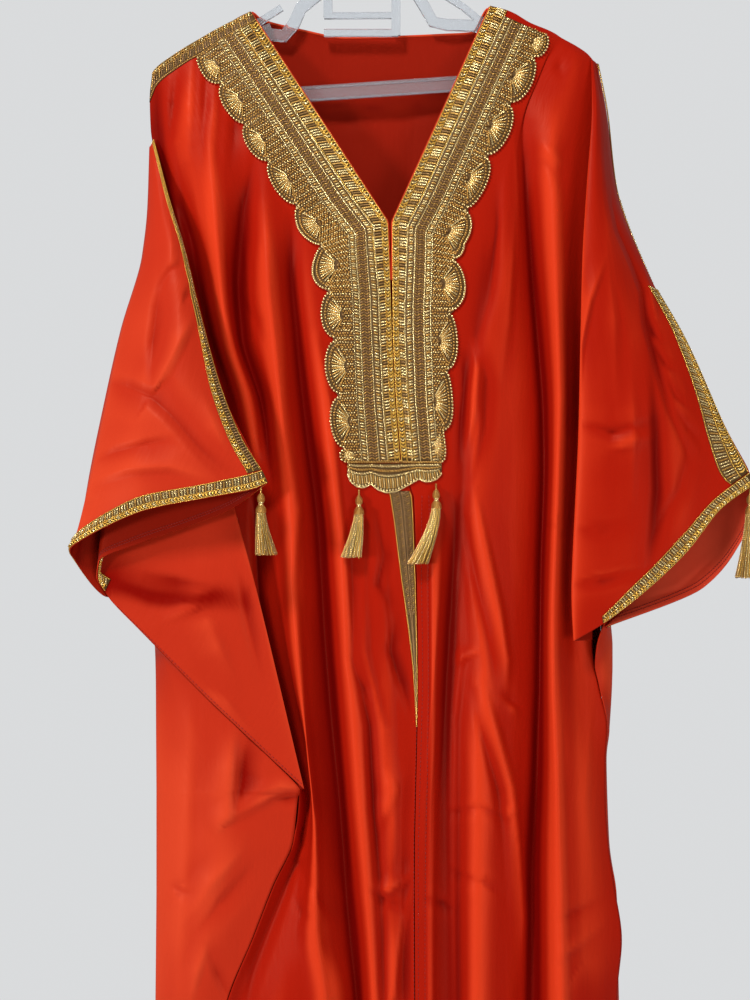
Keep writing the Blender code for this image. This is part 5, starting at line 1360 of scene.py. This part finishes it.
SLEEVE_TOP_RIGHT = (0, 1, 2, 3, 4, 5, 5.97)
braid("sleeve_braid_right", Band(sleeve_right_back, -1, edge_of(SLEEVE_TOP_RIGHT, 0.04),
                                 edge_of(SLEEVE_TOP_RIGHT, 0.97)), bars=(DULL, DARK, DULL))
SLEEVE_TOP_LEFT = (3.2, 4, 5, 5.5, 5.97)
NEAR_EDGE = (5.03, 5.03, 5.06, 5.26, 5.5)
braid("sleeve_braid_left", Band(sleeve_left_front, 1, edge_of(SLEEVE_TOP_LEFT, NEAR_EDGE),
                                edge_of(SLEEVE_TOP_LEFT, 5.97)))
SLEEVE_TOP_LEFT_UPPER = (0, 1, 2, 3, 3.14)
braid("sleeve_braid_left_upper", Band(sleeve_left_back, 1, edge_of(SLEEVE_TOP_LEFT_UPPER, 0.6),
                                      edge_of(SLEEVE_TOP_LEFT_UPPER, 0.97)))
# A cuff's braid: its panel and the side it lies on, the rows of its two edges, and the columns it crosses
CUFFS = (
    ("cuff_braid_right_back", sleeve_right_back, -1, (6.02, 6.02, 6.02, 6.02, 6.2, 6.2, 6.45), 6.97,
     range(7)),
    ("cuff_braid_right_front", sleeve_right_front, 1, 4.52, 4.97, (0, 1, 2, 3, 4, 5, 5.8)),
    ("cuff_braid_left_front", sleeve_left_front, 1, (6.75, 6.3, 6.02, 6.02, 6.02), 6.97, range(2, 7)),
    ("cuff_braid_left_back", sleeve_left_back, 1, (6.02, 6.02, 6.02, 6.2, 6.6), 6.97, range(5)),
)
for node_name, sheet, side, rows, last, columns in CUFFS:
    braid(node_name, Band(sheet, side, edge_of(rows, columns), edge_of(last, columns)))


def shoulder_edge(net, columns, widths):
    """Rows at which a shoulder braid of these widths ends."""
    rows = []
    for column, width in zip(columns, widths):
        low = min(int(column), net.shape[1] - 2)
        top = net[0, low, 1] + (column - low) * (net[0, low + 1, 1] - net[0, low, 1])
        share = width / (LEVELS[0] - top)
        rows.append(float(np.interp(share, SHOULDER_ROWS, range(len(SHOULDER_ROWS)))))
    return edge_of(rows, columns)


# Widths along the shoulder, by column from the sleeve to the neck
RIGHT_SHOULDER_WIDTHS = ((0, 30), (0.5, 19), (1, 16), (2, 14), (4, 12), (6, 11), (7, 10), (8, 9), (9, 8.5))
LEFT_SHOULDER_WIDTHS = (14,) * 5
BELOW_SEAM = 0.05
columns = [k / 2 for k in range(19)]
widths = [on_path(RIGHT_SHOULDER_WIDTHS, column) for column in columns]
braid("shoulder_braid_right", Band(front_right, 1, edge_of(BELOW_SEAM, columns),
                                   shoulder_edge(front_right_net(), columns, widths)),
      flip=True, bars=(GOLD, DULL, DARK), edges=GOLD)
columns = range(11, 16)
braid("shoulder_braid_left", Band(back, -1, edge_of(BELOW_SEAM, columns),
                                  shoulder_edge(back_net(), columns, LEFT_SHOULDER_WIDTHS)), flip=True)

# %% [markdown]
# The galon lies along the neck edge: a narrow yellow plait, then a row of shiny bars that is pleated by
# its own stitches. Beside the slit it narrows, because the yoke's rows are sewn over it. Below the foot
# of the yoke the centre braid narrows to a point.

# %% Galons and the centre braid
def row_of(down):
    return len(SHOULDER_ROWS) + LEVELS.index(down)


# Where the neck ends and the slit begins, in millimetres along the galon
SLIT_FROM, SLIT_FULL = 215.0, 330.0


def narrowing(slanted, upright):
    """A share of the width that goes from its value along the neck to its value along the slit."""
    return lambda along: slanted + (upright - slanted) * np.clip(
        (np.asarray(along, float) - SLIT_FROM) / (SLIT_FULL - SLIT_FROM), 0, 1)


# The bars' finishes paint the pleats' light: a painted highlight of bright gold on the crests, painted shade
# of dark gold between them
PAINTED_PLEAT_LIGHT_AND_SHADE = (BRIGHT, BRIGHT, BRIGHT, GOLD, DARK, GOLD, BRIGHT, BRIGHT, GOLD, DARK, GOLD)


def galon(node_name, band, edge_first):
    """edge_first says which of the band's edges lies along the neck."""
    trim = Trim("gold_" + node_name)
    lay_tape(trim, band)

    def turned(slanted, upright):
        if edge_first:
            return narrowing(slanted, upright)
        return narrowing(1 - slanted, 1 - upright)

    for slanted, upright in ((0.03, 0.02), (0.37, 0.27), (0.97, 0.62)):
        lay_cord(trim, band, turned(slanted, upright), TAPE + 0.3, 0.6, YELLOW)
    lay_plait(trim, band, turned(0.06, 0.05), turned(0.34, 0.25), 3.3, 0.95, YELLOW)
    lay_bars(trim, band, turned(0.43, 0.32), turned(0.9, 0.57), 2.9, 1.0, 0.9, PAINTED_PLEAT_LIGHT_AND_SHADE, TAPE + 0.5, 0.5)
    return trim.finish(node_name)


GALON_ROWS = (1.25,) + tuple(range(2, row_of(462) + 1))
galon("galon_right", Band(front_right, 1, edge_of(GALON_ROWS, 8.0), edge_of(GALON_ROWS, 8.985), steps=300),
      edge_first=False)
GALON_ROWS = (0.1,) + tuple(range(1, row_of(462) + 1))
galon("galon_left", Band(front_left, 1, edge_of(GALON_ROWS, 0.015), edge_of(GALON_ROWS, 1.0), steps=300),
      edge_first=True)


def add_centre_braid():
    """Two edge cords, three knitted chains and the dark ground between them, down to a point."""
    rows = (row_of(462) + 0.83,) + tuple(range(row_of(497), row_of(727) + 1))
    shares = np.linspace(0, 1, len(rows))
    left = [(row, 8.02 + 0.88 * share ** 2.6) for row, share in zip(rows, shares)]
    band = Band(front_right, 1, left, edge_of(rows, 8.95))
    trim = Trim("gold_centre_braid")
    lay_tape(trim, band)
    for across, finish in ((0.02, YELLOW), (0.11, DARK), (0.43, DULL), (0.57, DULL), (0.89, DARK),
                           (0.98, YELLOW)):
        lay_cord(trim, band, across, TAPE + 0.25, 0.45, finish)
    for start in (0.14, 0.60):
        lay_bars(trim, band, start, start + 0.13, 2.3, 0.62, 1.5, (DULL, DARK, DULL))
        lay_bars(trim, band, start + 0.13, start + 0.26, 2.3, 0.62, -1.5, (DULL, DULL, GOLD))
    return trim.finish("centre_braid")


add_centre_braid()


# %% [markdown]
# The yoke is passementerie: rows of cord and bobbles along the neck, then a fan in each scallop with
# threads that spread from a boss to a beaded rim. Every thread is laid on the cloth where it is seen,
# by sending a line of sight to the front.

# %% The yoke's tables
Scallop = namedtuple("Scallop", "start valley crest")
Yoke = namedtuple("Yoke", "side path slant scallops end")
YOKE_RIGHT = Yoke(
    side=-1,
    path=((251, 12), (388, 222), (392, 330), (395, 400), (400, 462)),
    slant=33.0,
    scallops=(Scallop(9, 70, 75), Scallop(44, 63, 75), Scallop(91, 66, 77), Scallop(135, 66, 77),
              Scallop(187, 66, 80), Scallop(252, 70, 79), Scallop(320, 60, 71), Scallop(368, 56, 69),
              Scallop(424, 54, 67), Scallop(478, 54, 60)),
    end=(491.6, 52),
)
YOKE_LEFT = Yoke(
    side=1,
    path=((490, 6), (392, 222), (392.6, 330), (395, 400), (400, 462)),
    slant=24.4,
    scallops=(Scallop(3, 63, 70), Scallop(29, 60, 71), Scallop(81, 56, 71), Scallop(138, 58, 71),
              Scallop(195, 62, 77), Scallop(262, 62, 74), Scallop(328, 57, 65), Scallop(386, 53, 58),
              Scallop(447, 46, 47)),
    end=(478, 42),
)
YOKE_STRAIGHT = (200.0, 320.0)


def walk(path, length):
    """The point at this length along a line of straight runs."""
    for start, end in zip(path, path[1:]):
        run = math.dist(start, end)
        if length <= run or end == path[-1]:
            share = length / run
            return (start[0] + share * (end[0] - start[0]), start[1] + share * (end[1] - start[1]))
        length -= run
    return path[-1]


FOOT_TOP = 463.4
FOOT_EDGE = ((347, 474), (351, 483), (357, 488), (364, 489), (371, 485), (378, 491), (386, 494),
             (396, 493), (407, 487), (419, 480), (425, 483), (431, 482.5), (437, 480), (442, 474))

print("scallops", len(YOKE_RIGHT.scallops) + len(YOKE_LEFT.scallops))

# %% The surface it lies on
class Surface:
    """The outer face of the fronts, asked where a line of sight meets it."""

    def __init__(self, sheets):
        points, faces = [], []
        for sheet in sheets:
            outer = (sheet.grid + sheet.normals * CLOTH / 2)[::2, ::2]
            rows, columns = outer.shape[:2]
            first = len(points)
            points += outer.reshape(-1, 3).tolist()
            cell = np.arange(rows * columns).reshape(rows, columns) + first
            quads = np.stack([cell[:-1, :-1], cell[1:, :-1], cell[1:, 1:], cell[:-1, 1:]], axis=-1)
            faces += quads.reshape(-1, 4).tolist()
        self.tree = BVHTree.FromPolygons(points, faces)
        self.eye = Vector((VIEW_ACROSS - HOOK_ACROSS, -VIEW_DISTANCE, HOOK_DOWN - VIEW_DOWN))

    def hit(self, across, down, height):
        aim = Vector(place(across, down, 0.0)) - self.eye
        found = self.tree.ray_cast(self.eye, aim.normalized())[0]
        if found is None:
            found = self.tree.find_nearest(Vector(place(across, down, -20.0)))[0]
        return np.array((found.x, found.y - height, found.z))


FRONTS = Surface((front_right, front_left))


class YokeBand:
    """A place on the yoke: millimetres along the neck edge, millimetres out from it, and height."""

    def __init__(self, yoke):
        self.yoke = yoke

    def upright(self, along):
        """None of it on the slant beside the neck, all of it beside the slit."""
        return np.clip((along - YOKE_STRAIGHT[0]) / (YOKE_STRAIGHT[1] - YOKE_STRAIGHT[0]), 0, 1)

    def at(self, along, out, height=0.0):
        along, out, height = np.broadcast_arrays(*(np.asarray(x, float) for x in (along, out, height)))
        points = np.empty(along.shape + (3,))
        angles = math.radians(self.yoke.slant) * (1 - self.upright(along))
        for spot in np.ndindex(along.shape):
            edge = walk(self.yoke.path, along[spot])
            points[spot] = FRONTS.hit(edge[0] + self.yoke.side * out[spot] * math.cos(angles[spot]),
                                      edge[1] + out[spot] * math.sin(angles[spot]), YOKE_GAP + height[spot])
        return points

    def row(self, along, out, height=0.0):
        """A place in the rows, which move towards the slit and lie over the galon there."""
        return self.at(along, out - ROWS_SHIFT * self.upright(along), height)


# %% Rows along the yoke, and the fans
BED = 0.9
# The rows start here beside the neck, and lie this much nearer to the edge beside the slit
ROWS_FROM, ROWS_SHIFT = 16.6, 5.6
CORD_ROWS = ((17.8, 0.8), (26.2, 0.65), (37.0, 0.75), (43.7, 0.5))
RUNG_ROWS = ((22.0, 2.3), (40.4, 2.2))
RUNG_PITCH = 2.9
CHAIN_ROWS = (28.4, 31.6, 34.8)
KNOTS_FROM, KNOT_PITCH = 45.6, 2.7
FAN_DEPTH = 9.0
FAN_THREADS = 14


def rim_at(yoke, index, share):
    """Along and out of the rim of one scallop, from its first valley to its last."""
    scallop = yoke.scallops[index]
    after = yoke.scallops[index + 1:index + 2]
    finish, last = (after[0].start, after[0].valley) if after else yoke.end
    bulge = np.sqrt(np.clip(1 - (2 * share - 1) ** 2, 0, None))
    valley = scallop.valley + share * (last - scallop.valley)
    return scallop.start + share * (finish - scallop.start), valley + bulge * (scallop.crest - valley)


def lay_rungs(trim, band, start, finish, out, half):
    """Bobbles: short thick threads side by side, like the rungs of a ladder."""
    for k, along in enumerate(np.arange(start + 1.2, finish - 1.2, RUNG_PITCH)):
        trim.thread(band.row(along + np.array((0.5, 0.0, -0.5)), out + half * np.array((-0.75, 0.0, 0.75)),
                             BED + np.array((0.1, 1.1, 0.1))), 0.98, (BRIGHT, BRIGHT, GOLD)[k % 3], 6)


def lay_chain(trim, band, start, finish, out, turn):
    """Short slanting stitches side by side. The next row slants the other way, with dark gaps between."""
    for k, along in enumerate(np.arange(start + 0.8, finish - 3.0, 2.75)):
        trim.thread(band.row(along + np.array((0.0, 0.9, 1.8)), out + turn * np.array((-1.15, 0.0, 1.15)),
                             BED + np.array((0.0, 0.9, 0.0))), 0.68, (GOLD, DULL)[k % 2], 5)


def fan_of(yoke, index):
    """Middle of a scallop's fan along the band, how far out its boss stands, and half its width."""
    first, last = rim_at(yoke, index, 0.0), rim_at(yoke, index, 1.0)
    return (first[0] + last[0]) / 2, min(first[1], last[1]) - FAN_DEPTH, (last[0] - first[0]) / 2


UNEVEN = np.random.default_rng(11)


def lay_knots(trim, band, yoke, index):
    """The knotted ground between the last row and the rim, where the fan leaves it bare."""
    middle, base, half = fan_of(yoke, index)
    first, last = rim_at(yoke, index, 0.0)[0], rim_at(yoke, index, 1.0)[0]
    for k, along in enumerate(np.arange(first + 0.8, last - 0.2, KNOT_PITCH * 0.9)):
        rim = rim_at(yoke, index, (along - first) / (last - first))[1]
        start = KNOTS_FROM - ROWS_SHIFT * float(band.upright(along))
        outs = np.arange(start + (k % 2) * KNOT_PITCH / 2, rim - 3.2, KNOT_PITCH)
        reach = (outs - base) / (rim - base)
        outs = outs[(reach < 0.05) | (abs(along - middle) > half * (reach + 0.12))]
        if len(outs):
            stray = UNEVEN.uniform(-0.45, 0.45, (3, len(outs)))
            trim.bead(band.at(along + stray[0], outs + stray[1], BED + 0.5 + stray[2]), 1.15,
                      (GOLD, BRIGHT, GOLD)[k % 3])


def lay_fan(trim, band, yoke, index):
    """One scallop: a boss, threads that spread from it, and a rim of two rows of beads and a cord."""
    shares = np.linspace(0, 1, 25)
    along, out = rim_at(yoke, index, shares)
    middle, base, _ = fan_of(yoke, index)
    for k, share in enumerate(np.linspace(0.02, 0.98, FAN_THREADS)):
        end_along, end_out = rim_at(yoke, index, share)
        reach = np.array((0.2, 0.45, 0.7))
        trim.thread(band.at(middle + (end_along - middle) * reach, base + (end_out - base) * reach,
                            BED + np.array((0.4, 1.9, 0.5))), 0.85, (BRIGHT, GOLD)[k % 2], 5)
    trim.bead(band.at([middle], [base + 1.0], BED + 0.8), 1.7, DARK, 2)
    for reach, radius, spacing, material in ((0.8, 1.25, 3.1, GOLD), (0.955, 1.45, 3.3, BRIGHT)):
        row_along, row_out = middle + (along - middle) * reach, base + (out - base) * reach
        steps = np.linalg.norm(np.diff(np.stack([row_along, row_out]), axis=1), axis=0)
        length = np.concatenate([[0], np.cumsum(steps)])
        beads = np.arange(0.6, length[-1], spacing)
        trim.bead(band.at(np.interp(beads, length, row_along), np.interp(beads, length, row_out), BED + 0.6),
                  radius, material)


def add_yoke(node_name, yoke, first_row):
    band = YokeBand(yoke)
    trim = Trim("gold_" + node_name)
    last_row = yoke.end[0] - 1.0
    rims = [rim_at(yoke, index, share) for index in range(len(yoke.scallops))
            for share in np.linspace(0.02, 0.98, 9)]
    along, rim = map(np.array, zip((first_row, rims[0][1]), *rims))
    along, rim, spread = along[:, None], rim[:, None] - 0.8, np.linspace(0, 1, 10)[None, :]
    inner = ROWS_FROM - ROWS_SHIFT * band.upright(along)
    outs = inner + (rim - inner) * spread
    # The yoke's dark ground under its threads, partly painted shade in the gaps
    trim.wall(band.at(along, outs, BED), band.at(along, outs, 0.0), GROUND_WITH_GAP_SHADE)
    for out, radius in CORD_ROWS:
        trim.thread(band.row(np.arange(first_row, last_row, 3.5), out, BED + 0.25), radius, BRIGHT)
    for out, half in RUNG_ROWS:
        lay_rungs(trim, band, first_row, last_row, out, half)
    for k, out in enumerate(CHAIN_ROWS):
        lay_chain(trim, band, first_row, last_row, out, (1, -1)[k % 2])
    for index in range(len(yoke.scallops)):
        lay_knots(trim, band, yoke, index)
        lay_fan(trim, band, yoke, index)
    return trim.finish(node_name)


add_yoke("yoke_right", YOKE_RIGHT, 7.5)
add_yoke("yoke_left", YOKE_LEFT, 4.0)

# %% [markdown]
# The foot closes the yoke: corded rows across, and a looped edge below. It hides the galons' ends.

# %% The foot
def add_foot():
    trim = Trim("gold_yoke_foot")
    edge = np.array(FOOT_EDGE, float)
    across = np.linspace(edge[0, 0] + 0.5, edge[-1, 0] - 0.5, 60)

    def on_foot(spots, share, height):
        spots, share, height = np.broadcast_arrays(*(np.asarray(x, float) for x in (spots, share, height)))
        low = np.interp(spots, edge[:, 0], edge[:, 1])
        points = np.empty(spots.shape + (3,))
        for k in np.ndindex(spots.shape):
            down = FOOT_TOP + share[k] * (low[k] - 0.5 - FOOT_TOP)
            points[k] = FRONTS.hit(spots[k], down, YOKE_GAP + height[k])
        return points

    share = np.linspace(0, 1, 6)[None, :]
    trim.wall(on_foot(across[:, None], share, BED), on_foot(across[:, None], share, 0.0), GROUND_WITH_GAP_SHADE)
    for k, level in enumerate((-0.06, 0.1, 0.26, 0.42)):
        spots = np.arange(edge[0, 0] + 1.5 + k % 2, edge[-1, 0] - 1.5, 2.6)
        trim.thread(on_foot(across, level, BED + 0.2), 0.8, DARK)
        for spot in spots:
            trim.thread(on_foot(spot + np.array((-0.9, 0, 0.9)), level + np.array((-0.03, 0, 0.03)),
                                BED + np.array((0.6, 1.3, 0.6))), 0.95, (GOLD, BRIGHT)[k % 2], 5)
    trim.thread(on_foot(across, 0.97, BED + 0.4), 0.8, BRIGHT)
    for k, spot in enumerate(np.arange(edge[0, 0] + 1.6, edge[-1, 0] - 2.4, 2.2)):
        loop = on_foot(spot + np.array((0, 0.6, 1.0)), (0.5, 0.68, 0.84), BED + np.array((0.3, 1.2, 0.5)))
        trim.thread(loop, 0.9, (BRIGHT, GOLD)[k % 2])
    trim.bead(on_foot(np.arange(edge[0, 0] + 1, edge[-1, 0], 3.0), 0.9, BED + 0.5), 1.35, BRIGHT)
    return trim.finish("yoke_foot")


add_foot()


# %% [markdown]
# A tassel is a bundle of silky threads tied over a head that is wound with the same thread. Each winding
# is a thread of its own here, and the threads of the skirt part a little as they fall.

# %% Tassels
Tassel = namedtuple("Tassel", "name top depth length lean forward depth_spread")
TASSELS = (
    Tassel("tassel_yoke_right", (359, 489.6), -38, 66, -7, 10, 0.45),
    Tassel("tassel_yoke_left", (436, 483.6), -37, 78, -18, 10, 0.45),
    Tassel("tassel_cuff_right", (261, 486.9), -93.4, 64, 5, 1, 1.0),
    Tassel("tassel_cuff_left", (750, 488.6), -59, 86, -4, 1, 1.0),
)
# Radius and drop of each ring of the head
HEAD_PROFILE = ((0.9, 0.0), (0.9, 6.0), (2.2, 7.0), (3.6, 10.0), (3.4, 13.0), (1.9, 15.5), (2.6, 17.0),
                (4.6, 20.0), (5.0, 24.0))
HEAD_DROP = HEAD_PROFILE[-1][1]
SKIRT_THREADS = 110
SKIRT_RADIUS = 4.2
# Each thread is turned this much further than the one before, so that they fill the round evenly
GOLDEN_ANGLE = 2.39996
rng = np.random.default_rng(11)


def head_radius(drop):
    radii, drops = zip(*HEAD_PROFILE)
    return float(np.interp(drop, drops, radii))


def add_tassel(tassel):
    trim = Trim("gold_" + tassel.name)
    top = place(*tassel.top, tassel.depth)
    forward = tassel.forward / HEAD_DROP

    def hang(x, y, drop):
        return top + np.stack([x, y - forward * drop, -drop + 0 * x], axis=-1)

    turns = np.linspace(0, 2 * math.pi, 14, endpoint=False)
    for drop in np.arange(6.6, HEAD_DROP - 0.3, 1.0):
        radius = head_radius(drop) - 0.35
        trim.thread(hang(radius * np.cos(turns), radius * np.sin(turns), drop + 0 * turns), 0.62,
                    BRIGHT if 14.4 < drop < 17 else GOLD, 5, closed=True)
    drops = np.linspace(0.3, 8.0, 5)
    for side in (-0.5, 0.5):
        trim.thread(hang(side * np.cos(drops), side * np.sin(drops), drops), 0.6, GOLD)
    core = np.array([head_radius(drop) - 0.7 for drop in np.arange(7, 24.1, 1.0)])
    trim.bead(hang(0 * core[:9], 0 * core[:9], np.arange(8, 17, 1.0)), 1.7, GOLD)
    for k in range(SKIRT_THREADS):
        angle = k * GOLDEN_ANGLE
        reach = math.sqrt((k + 0.5) / SKIRT_THREADS)
        root_x, root_y = SKIRT_RADIUS * reach * math.cos(angle), SKIRT_RADIUS * reach * math.sin(angle)
        shares = np.linspace(0, 1, 7)
        end = tassel.length - HEAD_DROP + rng.uniform(-2.5, 0.0)
        fan = 1 + 1.5 * shares ** 1.3
        deep = 1 + (fan - 1) * tassel.depth_spread
        wander = np.cumsum(rng.normal(0, 0.16, 7)) * shares
        x = root_x * fan + tassel.lean * shares ** 1.5 + wander
        y = root_y * deep - tassel.forward * 0.3 * shares + wander[::-1] * 0.3
        drop = HEAD_DROP - 1.0 + shares * (end + 1.0)
        line = top + np.stack([x, y - tassel.forward, -drop], axis=-1)
        trim.thread(line, 0.42, (BRIGHT, GOLD, BRIGHT, YELLOW)[k % 4], 4)
    return trim.finish(tassel.name)


for tassel in TASSELS:
    add_tassel(tassel)


# %% [markdown]
# Hems and seams are sewn in red thread: small stitches beside each edge, and a ladder of longer ones
# inside the far cuff, where the braid's stitches come through.

# %% Seams
def sheet_line(sheet, side, rows, columns, height=0.15, steps=120):
    shares = np.linspace(0, 1, steps)
    keys = np.linspace(0, 1, len(rows))
    points, normals = sampled(sheet, np.interp(shares, keys, rows), np.interp(shares, keys, columns))
    return points + normals * side * (CLOTH / 2 + height)


sewing = Trim("sewn_seams")
last_row = len(SHOULDER_ROWS) + len(LEVELS) - 1
for sheet, side, columns in ((front_right, 1, (0, 9)), (front_left, 1, (0, 9)), (back, -1, (0, 15))):
    for row in (last_row - 0.22, last_row - 0.25):
        sewing.seam(sheet_line(sheet, side, (row, row), columns), SEAM)
sewing.seam(sheet_line(front_right, 1, (row_of(727), last_row), (8.93, 8.96)), SEAM)
sewing.seam(sheet_line(front_left, 1, (row_of(497), last_row), (0.5, 0.3)), SEAM)
sewing.seam(sheet_line(front_left, 1, (row_of(497), last_row), (1.3, 1.1)), SEAM)
sewing.seam(sheet_line(sleeve_right_front, 1, (4.98, 4.98), (6.3, 8.9)), SEAM)
for row in (4.6, 4.74):
    sewing.seam(sheet_line(sleeve_right_front, -1, (row, row), (0.3, 4.2)), SEAM, 0.4, 2.6, 1.9)
for row in (6.55, 6.75):
    sewing.seam(sheet_line(sleeve_left_back, -1, (row, row), (0.2, 4.6)), SEAM, 0.4, 2.6, 1.9)
sewing.finish(slot="satin")

# %% [markdown]
# The neck's edges are turned over a thin cord, so a narrow red roll shows inside the braid and along
# the back of the neck.

# %% Rolled edges
rolls = Trim("rolled_edges")
for sheet, column in ((front_right, 9), (front_left, 0)):
    rolls.thread(sheet_line(sheet, 1, (0.2, row_of(280)), (column, column), -CLOTH / 2), 0.95, SATIN, 8)
rolls.thread(sheet_line(back, 1, (0, 0), (4.1, 10.9), -CLOTH / 2), 1.2, SATIN, 8)
for sheet, columns in ((front_right, (0.05, 8.95)), (front_left, (0.05, 8.95)), (back, (0.05, 14.95))):
    rolls.thread(sheet_line(sheet, 1, (last_row, last_row), columns, -CLOTH / 2, 200), 0.95, SATIN, 8)
rolls.finish(slot="satin")


# %% [markdown]
# The hanger is one clear moulding. Its edges are rounded, because a mould's are, and light runs along
# the round. It is the CAD's own solid with its triangles merged and its edges turned.

# %% The hanger
def rounded_copy(part, name, width):
    """A copy of a CAD solid with its sharp edges rounded."""
    work = bmesh.new()
    work.from_mesh(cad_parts[part].data)
    bmesh.ops.remove_doubles(work, verts=work.verts, dist=1e-6)
    bmesh.ops.dissolve_limit(work, angle_limit=math.radians(1), verts=work.verts, edges=work.edges)
    mesh = bpy.data.meshes.new(name)
    work.to_mesh(mesh)
    work.free()
    item = linked(name, mesh)
    bevel = item.modifiers.new("round", "BEVEL")
    bevel.width, bevel.segments, bevel.limit_method = width, 3, "ANGLE"
    made = plain_mesh(item)
    made.shade_smooth()
    made.set_sharp_from_angle(angle=math.radians(40))
    made.materials.clear()
    return made


# The trouser bar is a flat bar with a rib along each edge, as its moulding leaves it
HANGER_FACE = -2.3
BAR_RIBS = (((305, 88.6), (460, 78.4)), ((305, 100.4), (460, 90.2)))


def add_ribs():
    trim = Trim("hanger_ribs")
    for start, end in BAR_RIBS:
        steps = np.linspace(0, 1, 12)[:, None]
        spots = np.array(start) + steps * (np.array(end) - np.array(start))
        grid = placed(np.concatenate([spots, np.full((12, 1), HANGER_FACE)], axis=1))
        trim.thread(grid, 1.1, CLEAR, 8)
    return trim.finish(slot="clear_plastic")


add_ribs()
hanger = add_piece("clear_hanger", rounded_copy("hanger", "clear_hanger", 0.0011), [CLEAR],
                   ["hanger"])
print("hanger", len(hanger.data.polygons), "faces")


# %% [markdown]
# A panel's cut is its size laid flat: its widest row and its length, as measured along the folds when the
# panel was made, and the area of a panel that isn't a rectangle.

# %% The cloth's own facts
Cut = namedtuple("Cut", "width length area")
